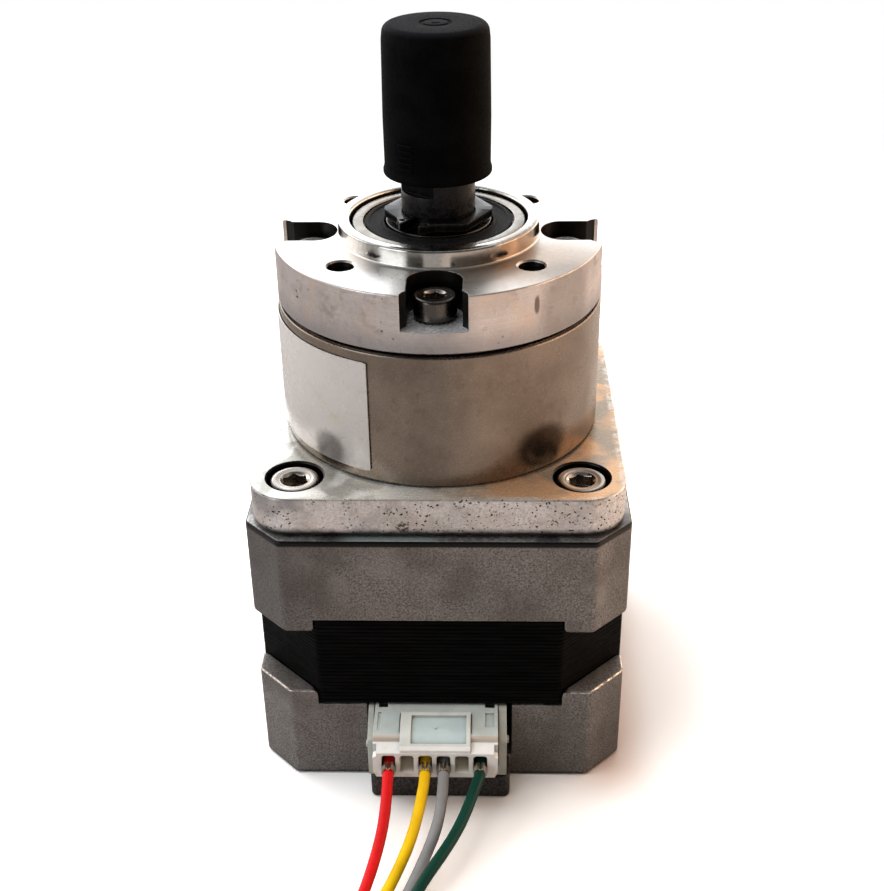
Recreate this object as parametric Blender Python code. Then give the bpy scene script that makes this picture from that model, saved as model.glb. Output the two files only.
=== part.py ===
"""NEMA 17 hybrid stepper motor with a single-stage 36 mm planetary gearbox.

The unit stands on the rear face of the motor.  +Z runs along the shaft, and
-Y is the side with the wire connector.  Every size is in millimetres and is
turned into metres by UNIT.  Fixed parts belong to the motor housing; the rotor,
the output shaft, the three planet gears and the ball cages turn.

Names ending in _R are radii, and Z0 and Z1 are the lower and upper ends of a
piece.  Cutters run well past the piece they cut; that overshoot has no meaning.
"""
import bpy
import bmesh
import math
from mathutils import Matrix, Vector

UNIT = 0.001                 # metres in a millimetre
TAU = 2.0 * math.pi
SHARP_ANGLE = math.radians(32)

# ---------------------------------------------------------------- dimensions
# motor frame
MOTOR_HALF = 21.1            # half width of the end caps and the stack
CAP_CHAMFER = 4.0            # corner chamfer of both end caps
STACK_CHAMFER = 7.2          # corner chamfer of the seat of the lamination stack
REAR_CAP_TOP = 10.6          # rear cap at mid side
REAR_TAB_TOP = 12.6          # rear cap at its four corner tabs
FRONT_TAB_BOTTOM = 20.85
FRONT_CAP_BOTTOM = 22.6
FRONT_CAP_TOP = 33.0
MOTOR_PILOT_R = 11.0
MOTOR_PILOT_TOP = 35.0       # the motor pilot is hidden inside the plate
BOLT = 15.5                  # half of the 31 mm NEMA 17 square
BOLT_HOLE_R = 1.75
CAVITY_R = 18.5
STACK_GAP = 0.2              # clearance between the stack and each cap

# rotor and shaft of the motor
ROTOR_R = 11.0
SHAFT_R = 2.5
SHAFT_STUB_R = 2.0           # thinner shaft end that carries the sun gear

# ball bearings of the motor, 5 x 16 x 5
BEARING_R = 8.0
BEARING_SEAT_R = BEARING_R + 0.15
BEARING_WALL_R = 10.2        # outside of the wall round each bearing
REAR_BEARING_Z0 = 2.8
FRONT_BEARING_Z0 = 28.0

# adapter plate
PLATE_HALF = 20.3
PLATE_CORNER_R = 4.6
PLATE_Z0, PLATE_Z1 = 33.1, 37.8
PLATE_SEAT_Z = 34.45         # floor of the counterbores for the plate screws

# planetary stage
MODULE = 0.6
SUN_TEETH, PLANET_TEETH, RING_TEETH = 12, 13, 39
PRESSURE_ANGLE = math.radians(20)
CENTRE_DISTANCE = 0.5 * (SUN_TEETH + RING_TEETH) / 2 * MODULE
FIRST_PLANET_DEG = 90.0
PLANETS = 3
BACKLASH = 0.13
PLANET_TOOTH = 0.86          # tooth thickness of a planet in the ring mesh
PLANET_Z0, PLANET_Z1 = 40.2, 47.2
SUN_Z0, SUN_Z1 = 39.2, 47.4
CARRIER_Z0, CARRIER_Z1 = 47.6, 50.6
PIN_R = 1.25

# gearbox housing and flange
GEARBOX_R = 18.0
RING_Z0, RING_Z1 = 38.0, 53.1
FLANGE_Z0, FLANGE_TOP = 53.6, 59.9
PILOT_R, PILOT_TOP = 11.0, 61.85
NOTCH_FLOOR = 56.0
SCREW_CIRCLE_R = 14.0        # flange screws and face holes
SCREW_HOLE_R = 1.4

# output bearing, 8 x 19 x 6
OUT_BEARING_Z0 = 55.45
OUT_BEARING_WIDTH = 6.0
OUT_BEARING_Z1 = OUT_BEARING_Z0 + OUT_BEARING_WIDTH
SEAL_R = 8.05

# output shaft and its rubber cap
OUT_R = 4.0
SHAFT_TOP = 80.3
FLAT_Z0 = 64.9
FLAT_ANGLE = math.radians(-130)
FLAT_DEPTH = 0.75
CAP_Z0, CAP_TOP = 67.0, 82.0

# connector
CONTACT_ROW_X = -0.5         # middle of the row of contacts
CONTACT_PITCH = 2.05
CONTACTS = 6
CONTACT_Z = 7.1
HEADER_X0, HEADER_X1 = -8.15, 7.6
HEADER_Y0 = -24.9            # outer face of the header and of the shelf below it
SHELF_TOP = 3.2
PLUG_X0, PLUG_X1 = -7.4, 6.6
LEAD_R = 0.62


# ------------------------------------------------------------ object helpers
def clear_scene():
    for item in list(bpy.data.objects):
        bpy.data.objects.remove(item, do_unlink=True)


def material(name, rgb, roughness, metallic):
    made = bpy.data.materials.new(name)
    made.use_nodes = True
    inputs = made.node_tree.nodes["Principled BSDF"].inputs
    inputs["Base Color"].default_value = (*rgb, 1.0)
    inputs["Roughness"].default_value = roughness
    inputs["Metallic"].default_value = metallic
    made.diffuse_color = (*rgb, 1.0)
    return made


def tidy(mesh):
    """Merge doubled vertices and point every face outwards."""
    bmesh.ops.remove_doubles(mesh, verts=mesh.verts, dist=1e-7)
    bmesh.ops.recalc_face_normals(mesh, faces=mesh.faces)
    if mesh.calc_volume(signed=True) < 0:
        bmesh.ops.reverse_faces(mesh, faces=mesh.faces)


def link(name, data, loc, parent):
    item = bpy.data.objects.new(name, data)
    bpy.context.scene.collection.objects.link(item)
    item.location = [value * UNIT for value in loc]
    item.parent = parent
    return item


def empty(name, loc=(0, 0, 0), parent=None):
    item = link(name, None, loc, parent)
    item.empty_display_size = 5 * UNIT
    return item


def solid(name, mesh, mat=None, parent=None, loc=(0, 0, 0)):
    """Turn a bmesh into an object; mat is a key of MATERIALS."""
    tidy(mesh)
    data = bpy.data.meshes.new(name)
    mesh.to_mesh(data)
    mesh.free()
    if mat is not None:
        data.materials.append(MATERIALS[mat])
    data.shade_smooth()
    data.set_sharp_from_angle(angle=SHARP_ANGLE)
    return link(name, data, loc, parent)


def combine(target, name, mesh, operation, loc):
    """Make a hidden helper object and apply it to target by a boolean modifier."""
    helper = solid(name, mesh, loc=loc)
    helper.hide_render = True
    helper.display_type = "WIRE"
    modifier = target.modifiers.new(operation.lower(), "BOOLEAN")
    modifier.operation = operation
    modifier.object = helper
    modifier.solver = "EXACT"


def cut(target, name, mesh, loc=(0, 0, 0)):
    combine(target, name, mesh, "DIFFERENCE", loc)


def join(target, name, mesh):
    combine(target, name, mesh, "UNION", (0, 0, 0))


# -------------------------------------------------------------- mesh helpers
# Each one returns a bmesh; "into" is a bmesh that the new shape is added to.
def lathe(profile, segs, into=None, centre=(0.0, 0.0)):
    """Turn a closed (r, z) profile about a vertical line through centre."""
    mesh = into or bmesh.new()
    x, y = centre
    verts = [mesh.verts.new(((x + r) * UNIT, y * UNIT, z * UNIT)) for r, z in profile]
    edges = []
    for i, vert in enumerate(verts):
        j = (i + 1) % len(verts)
        on_axis = profile[i][0] < 1e-9 and profile[j][0] < 1e-9
        if not on_axis:
            edges.append(mesh.edges.new((vert, verts[j])))
    bmesh.ops.spin(mesh, geom=verts + edges, cent=(x * UNIT, y * UNIT, 0), axis=(0, 0, 1),
                   angle=TAU, steps=segs, use_duplicate=False)
    bmesh.ops.remove_doubles(mesh, verts=mesh.verts, dist=1e-7)
    return mesh


def lathes(profile, segs, centres, into=None):
    """The same turned shape at several places."""
    mesh = into or bmesh.new()
    for centre in centres:
        lathe(profile, segs, mesh, centre)
    return mesh


def prism(loops, z0, z1, into=None, matrix=None):
    """Extrude an outline with holes from z0 to z1, then move it by matrix."""
    mesh = bmesh.new()
    edges = []
    for loop in loops:
        verts = [mesh.verts.new((x * UNIT, y * UNIT, z0 * UNIT)) for x, y in loop]
        edges += [mesh.edges.new((vert, verts[(i + 1) % len(verts)]))
                  for i, vert in enumerate(verts)]
    fill = bmesh.ops.triangle_fill(mesh, use_beauty=True, use_dissolve=False, edges=edges)
    faces = [item for item in fill["geom"] if isinstance(item, bmesh.types.BMFace)]
    extruded = bmesh.ops.extrude_face_region(mesh, geom=faces)
    top = [item for item in extruded["geom"] if isinstance(item, bmesh.types.BMVert)]
    bmesh.ops.translate(mesh, verts=top, vec=(0, 0, (z1 - z0) * UNIT))
    if matrix is not None:
        mesh.transform(matrix)
    tidy(mesh)
    if into is None:
        return mesh
    carrier = bpy.data.meshes.new("carrier")
    mesh.to_mesh(carrier)
    mesh.free()
    into.from_mesh(carrier)
    bpy.data.meshes.remove(carrier)
    return into


def box(x0, x1, y0, y1, z0, z1, into=None):
    return prism([[(x0, y0), (x1, y0), (x1, y1), (x0, y1)]], z0, z1, into)


# takes an outline drawn as (y, z) and extrudes it along x
SIDE = Matrix(((0, 0, 1, 0), (1, 0, 0, 0), (0, 1, 0, 0), (0, 0, 0, 1)))


def side_prism(outline, x0, x1, into=None):
    return prism([outline], x0, x1, into, SIDE)


def skin(rows, closed, into=None):
    """Join closed rows of points in order; closed runs the last to the first,
    otherwise both ends are capped."""
    mesh = into or bmesh.new()
    rows = [[mesh.verts.new(Vector(point) * UNIT) for point in row] for row in rows]
    pairs = list(zip(rows, rows[1:]))
    if closed:
        pairs.append((rows[-1], rows[0]))
    for near, far in pairs:
        for i in range(len(near)):
            j = (i + 1) % len(near)
            mesh.faces.new((near[i], near[j], far[j], far[i]))
    if not closed:
        mesh.faces.new(rows[0][::-1])
        mesh.faces.new(rows[-1])
    return mesh


# ------------------------------------------------------------------ outlines
def polar(r, deg):
    return (r * math.cos(math.radians(deg)), r * math.sin(math.radians(deg)))


def circle(r, segs, x=0.0, y=0.0):
    return [(x + r * math.cos(TAU * i / segs), y + r * math.sin(TAU * i / segs))
            for i in range(segs)]


def chamfer_square(half, chamfer):
    inner = half - chamfer
    return [(half, -inner), (half, inner), (inner, half), (-inner, half),
            (-half, inner), (-half, -inner), (-inner, -half), (inner, -half)]


def round_square(half, r, steps=4):
    points = []
    for quarter in range(4):
        x = (half - r) * (1 if quarter in (0, 3) else -1)
        y = (half - r) * (1 if quarter in (0, 1) else -1)
        for i in range(steps + 1):
            angle = TAU / 4 * (quarter + i / steps)
            points.append((x + r * math.cos(angle), y + r * math.sin(angle)))
    return points


BOLT_PLACES = [(BOLT, -BOLT), (BOLT, BOLT), (-BOLT, BOLT), (-BOLT, -BOLT)]
SCREW_PLACES = [polar(SCREW_CIRCLE_R, -90 + 90 * i) for i in range(4)]
FACE_HOLE_PLACES = [polar(SCREW_CIRCLE_R, -45 + 90 * i) for i in range(4)]

# ------------------------------------------------------ materials and frames
clear_scene()

# name: (base colour, roughness, metallic)
FINISHES = {
    "cast_aluminium": ((0.24, 0.22, 0.21), 0.55, 0.8),
    "machined_aluminium": ((0.72, 0.69, 0.68), 0.32, 1.0),
    "nickel_steel": ((0.36, 0.31, 0.26), 0.34, 1.0),
    "lamination_steel": ((0.012, 0.012, 0.014), 0.55, 0.3),
    "bright_steel": ((0.6, 0.6, 0.6), 0.25, 1.0),
    "dark_steel": ((0.03, 0.03, 0.032), 0.3, 0.9),
    "screw_steel": ((0.62, 0.6, 0.57), 0.25, 1.0),
    "magnet": ((0.12, 0.12, 0.12), 0.5, 0.6),
    "copper": ((0.55, 0.2, 0.08), 0.35, 1.0),
    "white_nylon": ((0.72, 0.75, 0.72), 0.45, 0.0),
    "black_bobbin": ((0.02, 0.02, 0.02), 0.5, 0.0),
    "black_rubber": ((0.012, 0.012, 0.013), 0.6, 0.0),
    "white_label": ((0.75, 0.75, 0.76), 0.5, 0.0),
    "gear_steel": ((0.4, 0.38, 0.35), 0.4, 1.0),
    "circuit_board": ((0.02, 0.16, 0.06), 0.5, 0.0),
    "tin_plate": ((0.65, 0.64, 0.6), 0.3, 1.0),
    "red_lead": ((0.75, 0.01, 0.012), 0.4, 0.0),
    "yellow_lead": ((0.9, 0.5, 0.0), 0.4, 0.0),
    "grey_lead": ((0.22, 0.22, 0.22), 0.4, 0.0),
    "green_lead": ((0.002, 0.07, 0.035), 0.4, 0.0),
}
MATERIALS = {name: material(name, *finish) for name, finish in FINISHES.items()}

HOUSING = empty("housing_frame")
ROTOR = empty("rotor_axis")
OUTPUT = empty("output_axis")
REAR_CAGE = empty("rear_cage_axis")
FRONT_CAGE = empty("front_cage_axis")
OUTPUT_CAGE = empty("output_cage_axis")

# ------------------------------------------------------------- motor end caps
# Seat of the lamination stack: everything inside its corner chamfers, so that
# only the four corner tabs of each cap stand beside it.
SEAT_HALF = 30.0
SEAT = chamfer_square(SEAT_HALF, 2 * SEAT_HALF - (2 * MOTOR_HALF - STACK_CHAMFER))
CAP_OUTLINE = chamfer_square(MOTOR_HALF, CAP_CHAMFER)
REAR_FLOOR_Z = 1.8           # floor of the rear cap
REAR_WALL_TOP = 7.6          # top of the wall round the rear bearing
FRONT_CAVITY_TOP = 31.0
FRONT_WALL_BOTTOM = 27.4


def rear_end_cap():
    cap = solid("rear_end_cap", prism([CAP_OUTLINE], 0, REAR_TAB_TOP), "cast_aluminium", HOUSING)
    join(cap, "shelf_block", box(-8.0, 8.0, HEADER_Y0, -19.5, 0, SHELF_TOP))
    cut(cap, "rear_cap_step", prism([SEAT], REAR_CAP_TOP, 30))
    cut(cap, "rear_cap_cavity", lathe([
        (0, REAR_FLOOR_Z), (BEARING_SEAT_R, REAR_FLOOR_Z), (BEARING_SEAT_R, REAR_WALL_TOP),
        (BEARING_WALL_R, REAR_WALL_TOP), (BEARING_WALL_R, REAR_FLOOR_Z),
        (CAVITY_R, REAR_FLOOR_Z), (CAVITY_R, 20), (0, 20)], 24))
    # bolt holes, counterbored from the rear face
    cut(cap, "rear_cap_holes", lathes([
        (0, -2), (3.0, -2), (3.0, 2.7), (BOLT_HOLE_R, 2.7), (BOLT_HOLE_R, 20), (0, 20)],
        10, BOLT_PLACES))
    cut(cap, "connector_opening", box(-8.4, 8.25, -30, -15, SHELF_TOP, 20))


def front_end_cap():
    cap = solid("front_end_cap", prism([CAP_OUTLINE], FRONT_TAB_BOTTOM, FRONT_CAP_TOP),
                "cast_aluminium", HOUSING)
    join(cap, "front_pilot", lathe([(0, 32), (MOTOR_PILOT_R, 32),
                                    (MOTOR_PILOT_R, MOTOR_PILOT_TOP), (0, MOTOR_PILOT_TOP)], 24))
    cut(cap, "front_cap_step", prism([SEAT], 10, FRONT_CAP_BOTTOM))
    cut(cap, "front_cap_cavity", lathe([
        (0, 10), (CAVITY_R, 10), (CAVITY_R, FRONT_CAVITY_TOP),
        (BEARING_WALL_R, FRONT_CAVITY_TOP), (BEARING_WALL_R, FRONT_WALL_BOTTOM),
        (BEARING_SEAT_R, FRONT_WALL_BOTTOM), (BEARING_SEAT_R, 33.3),
        (3.5, 33.3), (3.5, 40), (0, 40)], 24))
    cut(cap, "front_cap_holes", lathes([
        (0, 10), (BOLT_HOLE_R, 10), (BOLT_HOLE_R, 40), (0, 40)], 10, BOLT_PLACES))


# ------------------------------------------------------------- stator, coils
STATOR_BORE_R = 11.2
STATOR_SLOT_R = 11.9         # bottom of the gaps between the stator teeth
POLES = 8
POLE_TEETH = 6
POLE_TOOTH_PITCH = 7.2       # degrees
POLE_HALF_WIDTH = 2.2
POLE_SHOE_R = 13.0           # where the pole widens into its shoe
STACK_Z0 = REAR_CAP_TOP + STACK_GAP
STACK_Z1 = FRONT_CAP_BOTTOM - STACK_GAP
STACK_MID_Z = 0.5 * (STACK_Z0 + STACK_Z1)
INSULATOR_THICKNESS = 1.1
LINK_RING_Z0, LINK_RING_Z1 = 5.6, 6.2


def pole_contour(bore_r, yoke_r, toothed):
    """Inner outline of the eight poles, with or without teeth on their shoes."""
    neck_in = math.degrees(math.asin(POLE_HALF_WIDTH / POLE_SHOE_R))
    neck_out = math.degrees(math.asin(POLE_HALF_WIDTH / (yoke_r - 0.1)))
    # rows of (radius, degrees from the middle of the pole)
    row = [(yoke_r, -22.5), (yoke_r, -15), (yoke_r - 0.1, -neck_out),
           (POLE_SHOE_R, -neck_in), (12.5, -18.5)]
    if toothed:
        for i in range(POLE_TEETH):
            middle = POLE_TOOTH_PITCH * (i - 2.5)
            row += [(bore_r, middle - 1.7), (bore_r, middle + 1.7)]
            if i < POLE_TEETH - 1:
                row += [(STATOR_SLOT_R, middle + 1.9), (STATOR_SLOT_R, middle + 5.3)]
    else:
        row += [(bore_r, -16), (bore_r, 0), (bore_r, 16)]
    row += [(12.5, 18.5), (POLE_SHOE_R, neck_in), (yoke_r - 0.1, neck_out), (yoke_r, 15)]
    return [polar(r, 360 / POLES * k + deg) for k in range(POLES) for r, deg in row]


def stator_core():
    loops = [chamfer_square(MOTOR_HALF, STACK_CHAMFER + 0.25),
             pole_contour(STATOR_BORE_R, 17.5, True)]
    loops += [circle(BOLT_HOLE_R, 8, x, y) for x, y in BOLT_PLACES]
    solid("stator_core", prism(loops, STACK_Z0, STACK_Z1), "lamination_steel", HOUSING)


def insulator(name, z0):
    loops = [circle(18.2, 24), pole_contour(12.0, 17.6, False)]
    solid(name, prism(loops, z0, z0 + INSULATOR_THICKNESS), "black_bobbin", HOUSING)


def coil_section(half_width, half_height, r):
    """Rectangle of (y, z) points round the stack middle, with cut corners."""
    points = []
    for quarter, (side_y, side_z) in enumerate(((1, 1), (-1, 1), (-1, -1), (1, -1))):
        for i in range(2):
            angle = TAU / 4 * (quarter + i)
            points.append((side_y * (half_width - r) + r * math.cos(angle),
                           STACK_MID_Z + side_z * (half_height - r) + r * math.sin(angle)))
    return points


def coil(mesh, deg):
    """One coil wound round a pole: a rectangular ring on a radial axis."""
    half_width, half_height, thickness = 2.5, 7.5, 2.2
    inner = coil_section(half_width, half_height, 0.4)
    outer = coil_section(half_width + thickness, half_height + thickness, 1.2)
    turn = Matrix.Rotation(math.radians(deg), 4, "Z")
    rows = [[turn @ Vector((x, y, z)) for y, z in section]
            for section, x in ((inner, 13.2), (outer, 13.2), (outer, 16.4), (inner, 16.4))]
    skin(rows, True, mesh)


def winding(name, first_deg, r):
    """Four coils joined by a wire ring of radius r below them."""
    angles = [first_deg + 90 * k for k in range(4)]
    wire = solid(name, lathe([(r - 0.3, LINK_RING_Z0), (r + 0.3, LINK_RING_Z0),
                              (r + 0.3, LINK_RING_Z1), (r - 0.3, LINK_RING_Z1)], 24),
                 "copper", HOUSING)
    coils = bmesh.new()
    for deg in angles:
        coil(coils, deg)
    join(wire, name + "_coils", coils)
    join(wire, name + "_links", lathes([(0, 5.9), (0.25, 5.9), (0.25, 8.0), (0, 8.0)], 6,
                                       [polar(r, deg) for deg in angles]))


# ------------------------------------------------------ involute gear shapes
def involute(angle):
    return math.tan(angle) - angle


def half_angle_of(base_r, pitch_r, width):
    """Half angle, as a function of radius, of a tooth or space that measures
    width at pitch_r and has involute sides on base_r."""
    at_base = width / (2 * pitch_r) + involute(math.acos(base_r / pitch_r))
    return lambda r: at_base - involute(math.acos(base_r / r))


def tooth_outline(teeth, half_angle, r_start, r_end, phase_deg, foot_r=None, steps=2):
    """Outline of teeth (or ring spaces) from r_start out to r_end; foot_r
    carries each side straight inwards below r_start."""
    radii = [r_start + (r_end - r_start) * i / steps for i in range(steps + 1)]
    side = [(r, half_angle(r)) for r in radii]
    if foot_r is not None:
        side.insert(0, (foot_r, half_angle(r_start)))
    points = []
    for k in range(teeth):
        middle = math.radians(phase_deg) + TAU * k / teeth
        points += [(r, middle - half) for r, half in side]
        points += [(r, middle + half) for r, half in reversed(side)]
    return [(r * math.cos(angle), r * math.sin(angle)) for r, angle in points]


def base_radius(teeth):
    return MODULE * teeth / 2 * math.cos(PRESSURE_ANGLE)


def gear_outline(teeth, half_angle, tip_r, root_r, phase_deg):
    """Outer gear whose involutes start just above the base circle."""
    return tooth_outline(teeth, half_angle, base_radius(teeth) * 1.0005, tip_r, phase_deg, root_r)


# working pitch radii: ring and planet in the ring mesh, sun and planet in the sun mesh
RING_PITCH_R = CENTRE_DISTANCE * RING_TEETH / (RING_TEETH - PLANET_TEETH)
PLANET_RING_PITCH_R = CENTRE_DISTANCE * PLANET_TEETH / (RING_TEETH - PLANET_TEETH)
SUN_PITCH_R = CENTRE_DISTANCE * SUN_TEETH / (SUN_TEETH + PLANET_TEETH)
PLANET_SUN_PITCH_R = CENTRE_DISTANCE * PLANET_TEETH / (SUN_TEETH + PLANET_TEETH)

planet_half_angle = half_angle_of(base_radius(PLANET_TEETH), PLANET_RING_PITCH_R, PLANET_TOOTH)
ring_half_angle = half_angle_of(base_radius(RING_TEETH), RING_PITCH_R, PLANET_TOOTH + BACKLASH)
# a sun tooth fills the pitch left by a planet tooth and the backlash
SUN_TOOTH = (TAU * SUN_PITCH_R / SUN_TEETH
             - 2 * PLANET_SUN_PITCH_R * planet_half_angle(PLANET_SUN_PITCH_R) - BACKLASH)
sun_half_angle = half_angle_of(base_radius(SUN_TEETH), SUN_PITCH_R, SUN_TOOTH)

# --------------------------------------------------------------------- rotor
ROTOR_TEETH = 50
ROTOR_PITCH = 360.0 / ROTOR_TEETH
ROTOR_TOOTH_DEPTH = 0.75
MAGNET_Z0, MAGNET_Z1 = 16.0, 17.2
MAGNET_R = 9.6


def rotor_core(name, z0, phase_deg):
    """Toothed cup, 4.8 long; the front one is turned by half a tooth."""
    teeth = []
    for k in range(ROTOR_TEETH):
        middle = phase_deg + ROTOR_PITCH * k
        teeth += [polar(ROTOR_R, middle - 1.7), polar(ROTOR_R, middle + 1.7),
                  polar(ROTOR_R - ROTOR_TOOTH_DEPTH, middle + ROTOR_PITCH / 2)]
    solid(name, prism([teeth, circle(SHAFT_R + 0.2, 12)], z0, z0 + 4.8), "gear_steel", ROTOR)


def rotor_magnet():
    bore_r = SHAFT_R + 0.15
    solid("rotor_magnet", lathe([(bore_r, MAGNET_Z0), (MAGNET_R, MAGNET_Z0),
                                 (MAGNET_R, MAGNET_Z1), (bore_r, MAGNET_Z1)], 24),
          "magnet", ROTOR)


def motor_shaft():
    solid("motor_shaft", lathe([
        (0, 2.2), (2.2, 2.2), (SHAFT_R, 2.5), (SHAFT_R, 39.0), (SHAFT_STUB_R, 39.0),
        (SHAFT_STUB_R, 47.1), (1.8, 47.3), (0, 47.3)], 16), "bright_steel", ROTOR)


def sun_gear():
    outline = gear_outline(SUN_TEETH, sun_half_angle, 4.1, 3.1, FIRST_PLANET_DEG)
    solid("sun_gear", prism([outline, circle(SHAFT_STUB_R + 0.2, 14)], SUN_Z0, SUN_Z1),
          "gear_steel", ROTOR)


# ------------------------------------------------------------------ bearings
def bearing(prefix, z0, width, bore_r, outer_r, ball_r, balls, land_in, land_out,
            inner_parent, cage_parent, seal_r=None, segs=20):
    """Two grooved rings and a ball cage.  land_in and land_out are the radii of
    the ring faces beside the groove; seal_r adds a recess for a seal on top."""
    z1 = z0 + width
    mid_z = z0 + width / 2
    pitch_r = 0.5 * (bore_r + outer_r)
    groove = ball_r + 0.16
    outer = [(outer_r, z0), (outer_r, z1)]
    if seal_r:
        outer += [(seal_r + 0.2, z1), (seal_r + 0.2, z1 - 0.85), (land_out, z1 - 0.85)]
    else:
        outer += [(land_out, z1)]
    outer += [(land_out, mid_z + 0.9), (pitch_r + groove, mid_z + 0.45),
              (pitch_r + groove, mid_z - 0.45), (land_out, mid_z - 0.9), (land_out, z0)]
    solid(prefix + "_outer_ring", lathe(outer, segs), "bright_steel", HOUSING)

    inner = [(bore_r + 0.13, z0), (land_in, z0), (land_in, mid_z - 0.9),
             (pitch_r - groove, mid_z - 0.45), (pitch_r - groove, mid_z + 0.45),
             (land_in, mid_z + 0.9), (land_in, z1), (bore_r + 0.13, z1)]
    solid(prefix + "_inner_ring", lathe(inner, 16), "bright_steel", inner_parent)

    cage = solid(prefix + "_ball_cage", lathe([
        (pitch_r - 0.42, mid_z - 0.3), (pitch_r + 0.42, mid_z - 0.3),
        (pitch_r + 0.42, mid_z + 0.3), (pitch_r - 0.42, mid_z + 0.3)], 2 * balls),
        "bright_steel", cage_parent)
    spheres = bmesh.new()
    for k in range(balls):
        angle = TAU * k / balls
        place = Matrix.Translation((pitch_r * math.cos(angle) * UNIT,
                                    pitch_r * math.sin(angle) * UNIT, mid_z * UNIT))
        bmesh.ops.create_uvsphere(spheres, u_segments=6, v_segments=4, radius=ball_r * UNIT,
                                  matrix=place)
    join(cage, prefix + "_balls", spheres)


def motor_bearing(prefix, z0, cage_parent):
    bearing(prefix, z0, width=5.0, bore_r=SHAFT_R, outer_r=BEARING_R, ball_r=1.1, balls=7,
            land_in=4.35, land_out=6.15, inner_parent=ROTOR, cage_parent=cage_parent)


def output_bearing():
    bearing("output_bearing", OUT_BEARING_Z0, width=OUT_BEARING_WIDTH, bore_r=OUT_R, outer_r=9.5,
            ball_r=1.15, balls=9, land_in=5.75, land_out=7.7, inner_parent=OUTPUT,
            cage_parent=OUTPUT_CAGE, seal_r=SEAL_R, segs=32)
    z0, z1 = OUT_BEARING_Z1 - 0.7, OUT_BEARING_Z1 - 0.1
    solid("output_bearing_seal", lathe([(5.95, z0), (SEAL_R, z0), (SEAL_R, z1), (5.95, z1)], 32),
          "black_rubber", HOUSING)


def wave_washer():
    """Washer with three waves that preloads the rear bearing."""
    inner_r, outer_r, half_thickness = 5.6, 7.9, 0.12
    mid_z, wave_height, segs = 2.3, 0.18, 24
    rows = []
    for r, lift in ((inner_r, -half_thickness), (outer_r, -half_thickness),
                    (outer_r, half_thickness), (inner_r, half_thickness)):
        angles = [TAU * i / segs for i in range(segs)]
        rows.append([(r * math.cos(angle), r * math.sin(angle),
                      mid_z + wave_height * math.cos(3 * angle) + lift) for angle in angles])
    solid("wave_washer", skin(rows, True), "bright_steel", HOUSING)


# -------------------------------------------------------------------- screws
def socket_screw(name, x, y, head_r, head_z, top_z, shank_r, tip_z, hex_r, hex_depth):
    """Socket head cap screw: turned body with a hexagon cut into the head."""
    body = lathe([(0, tip_z), (shank_r, tip_z), (shank_r, head_z), (head_r, head_z),
                  (head_r, top_z - 0.2), (head_r - 0.2, top_z), (0, top_z)], 12)
    screw = solid(name, body, "screw_steel", HOUSING, (x, y, 0))
    cut(screw, name + "_hex", prism([circle(hex_r, 6)], top_z - hex_depth, top_z + 1), (x, y, 0))


def motor_screw(number, x, y):
    """Long screw through the motor, with its cross-slotted head at the rear."""
    body = lathe([(0, 0.35), (2.2, 0.35), (2.7, 0.9), (2.7, 2.45), (1.5, 2.45), (1.5, 26.6),
                  (0, 26.6)], 12)
    screw = solid("motor_screw_%d" % number, body, "screw_steel", HOUSING, (x, y, 0))
    arm, half = 1.6, 0.3     # length and half width of the cross arms
    cross = [(-arm, -half), (-half, -half), (-half, -arm), (half, -arm), (half, -half),
             (arm, -half), (arm, half), (half, half), (half, arm), (-half, arm),
             (-half, half), (-arm, half)]
    cut(screw, "motor_screw_cross_%d" % number, prism([cross], -1, 1.2), (x, y, 0))


def screws():
    for i, (x, y) in enumerate(BOLT_PLACES, 1):
        socket_screw("plate_screw_%d" % i, x, y, head_r=2.75, head_z=PLATE_SEAT_Z + 0.15,
                     top_z=37.5, shank_r=1.5, tip_z=29.0, hex_r=1.44, hex_depth=1.5)
        motor_screw(i, x, y)
    for i, (x, y) in enumerate(SCREW_PLACES, 1):
        socket_screw("flange_screw_%d" % i, x, y, head_r=2.25, head_z=NOTCH_FLOOR + 0.2,
                     top_z=58.5, shank_r=1.2, tip_z=35.3, hex_r=1.15, hex_depth=1.3)


# ----------------------------------------------------------- gearbox housing
def adapter_plate():
    plate = solid("adapter_plate", prism([round_square(PLATE_HALF, PLATE_CORNER_R)],
                                         PLATE_Z0, PLATE_Z1), "machined_aluminium", HOUSING)
    join(plate, "plate_boss", lathe([(0, 36.4), (11.0, 36.4), (11.0, 39.2), (0, 39.2)], 30))
    # recess for the motor pilot and a bore for the shaft
    recess_r, recess_top = MOTOR_PILOT_R + 0.2, MOTOR_PILOT_TOP + 0.2
    cut(plate, "plate_bore", lathe([(0, 30), (recess_r, 30), (recess_r, recess_top),
                                    (6.0, recess_top), (6.0, 45), (0, 45)], 28))
    holes = lathes([(0, 30), (1.7, 30), (1.7, PLATE_SEAT_Z), (3.1, PLATE_SEAT_Z), (3.1, 45),
                    (0, 45)], 14, BOLT_PLACES)
    lathes([(0, 35.1), (SCREW_HOLE_R, 35.1), (SCREW_HOLE_R, 45), (0, 45)], 8, SCREW_PLACES, holes)
    cut(plate, "plate_holes", holes)


def ring_gear_housing():
    loops = [circle(GEARBOX_R, 48),
             tooth_outline(RING_TEETH, ring_half_angle, 11.26, 12.2, FIRST_PLANET_DEG)]
    loops += [circle(SCREW_HOLE_R, 8, x, y) for x, y in SCREW_PLACES]
    solid("ring_gear_housing", prism(loops, RING_Z0, RING_Z1), "nickel_steel", HOUSING)


def notch_outline():
    """Notch on the -Y side: flared at the rim, ending in a half ellipse."""
    half, flare = 2.85, 3.45
    points = [(-flare, -19.5), (-flare, -17.3), (-half, -16.4)]
    points += [(-half * math.cos(TAU / 2 * i / 6),
                -13.5 + 2.35 * math.sin(TAU / 2 * i / 6)) for i in range(7)]
    return points + [(half, -16.4), (flare, -17.3), (flare, -19.5)]


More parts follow.
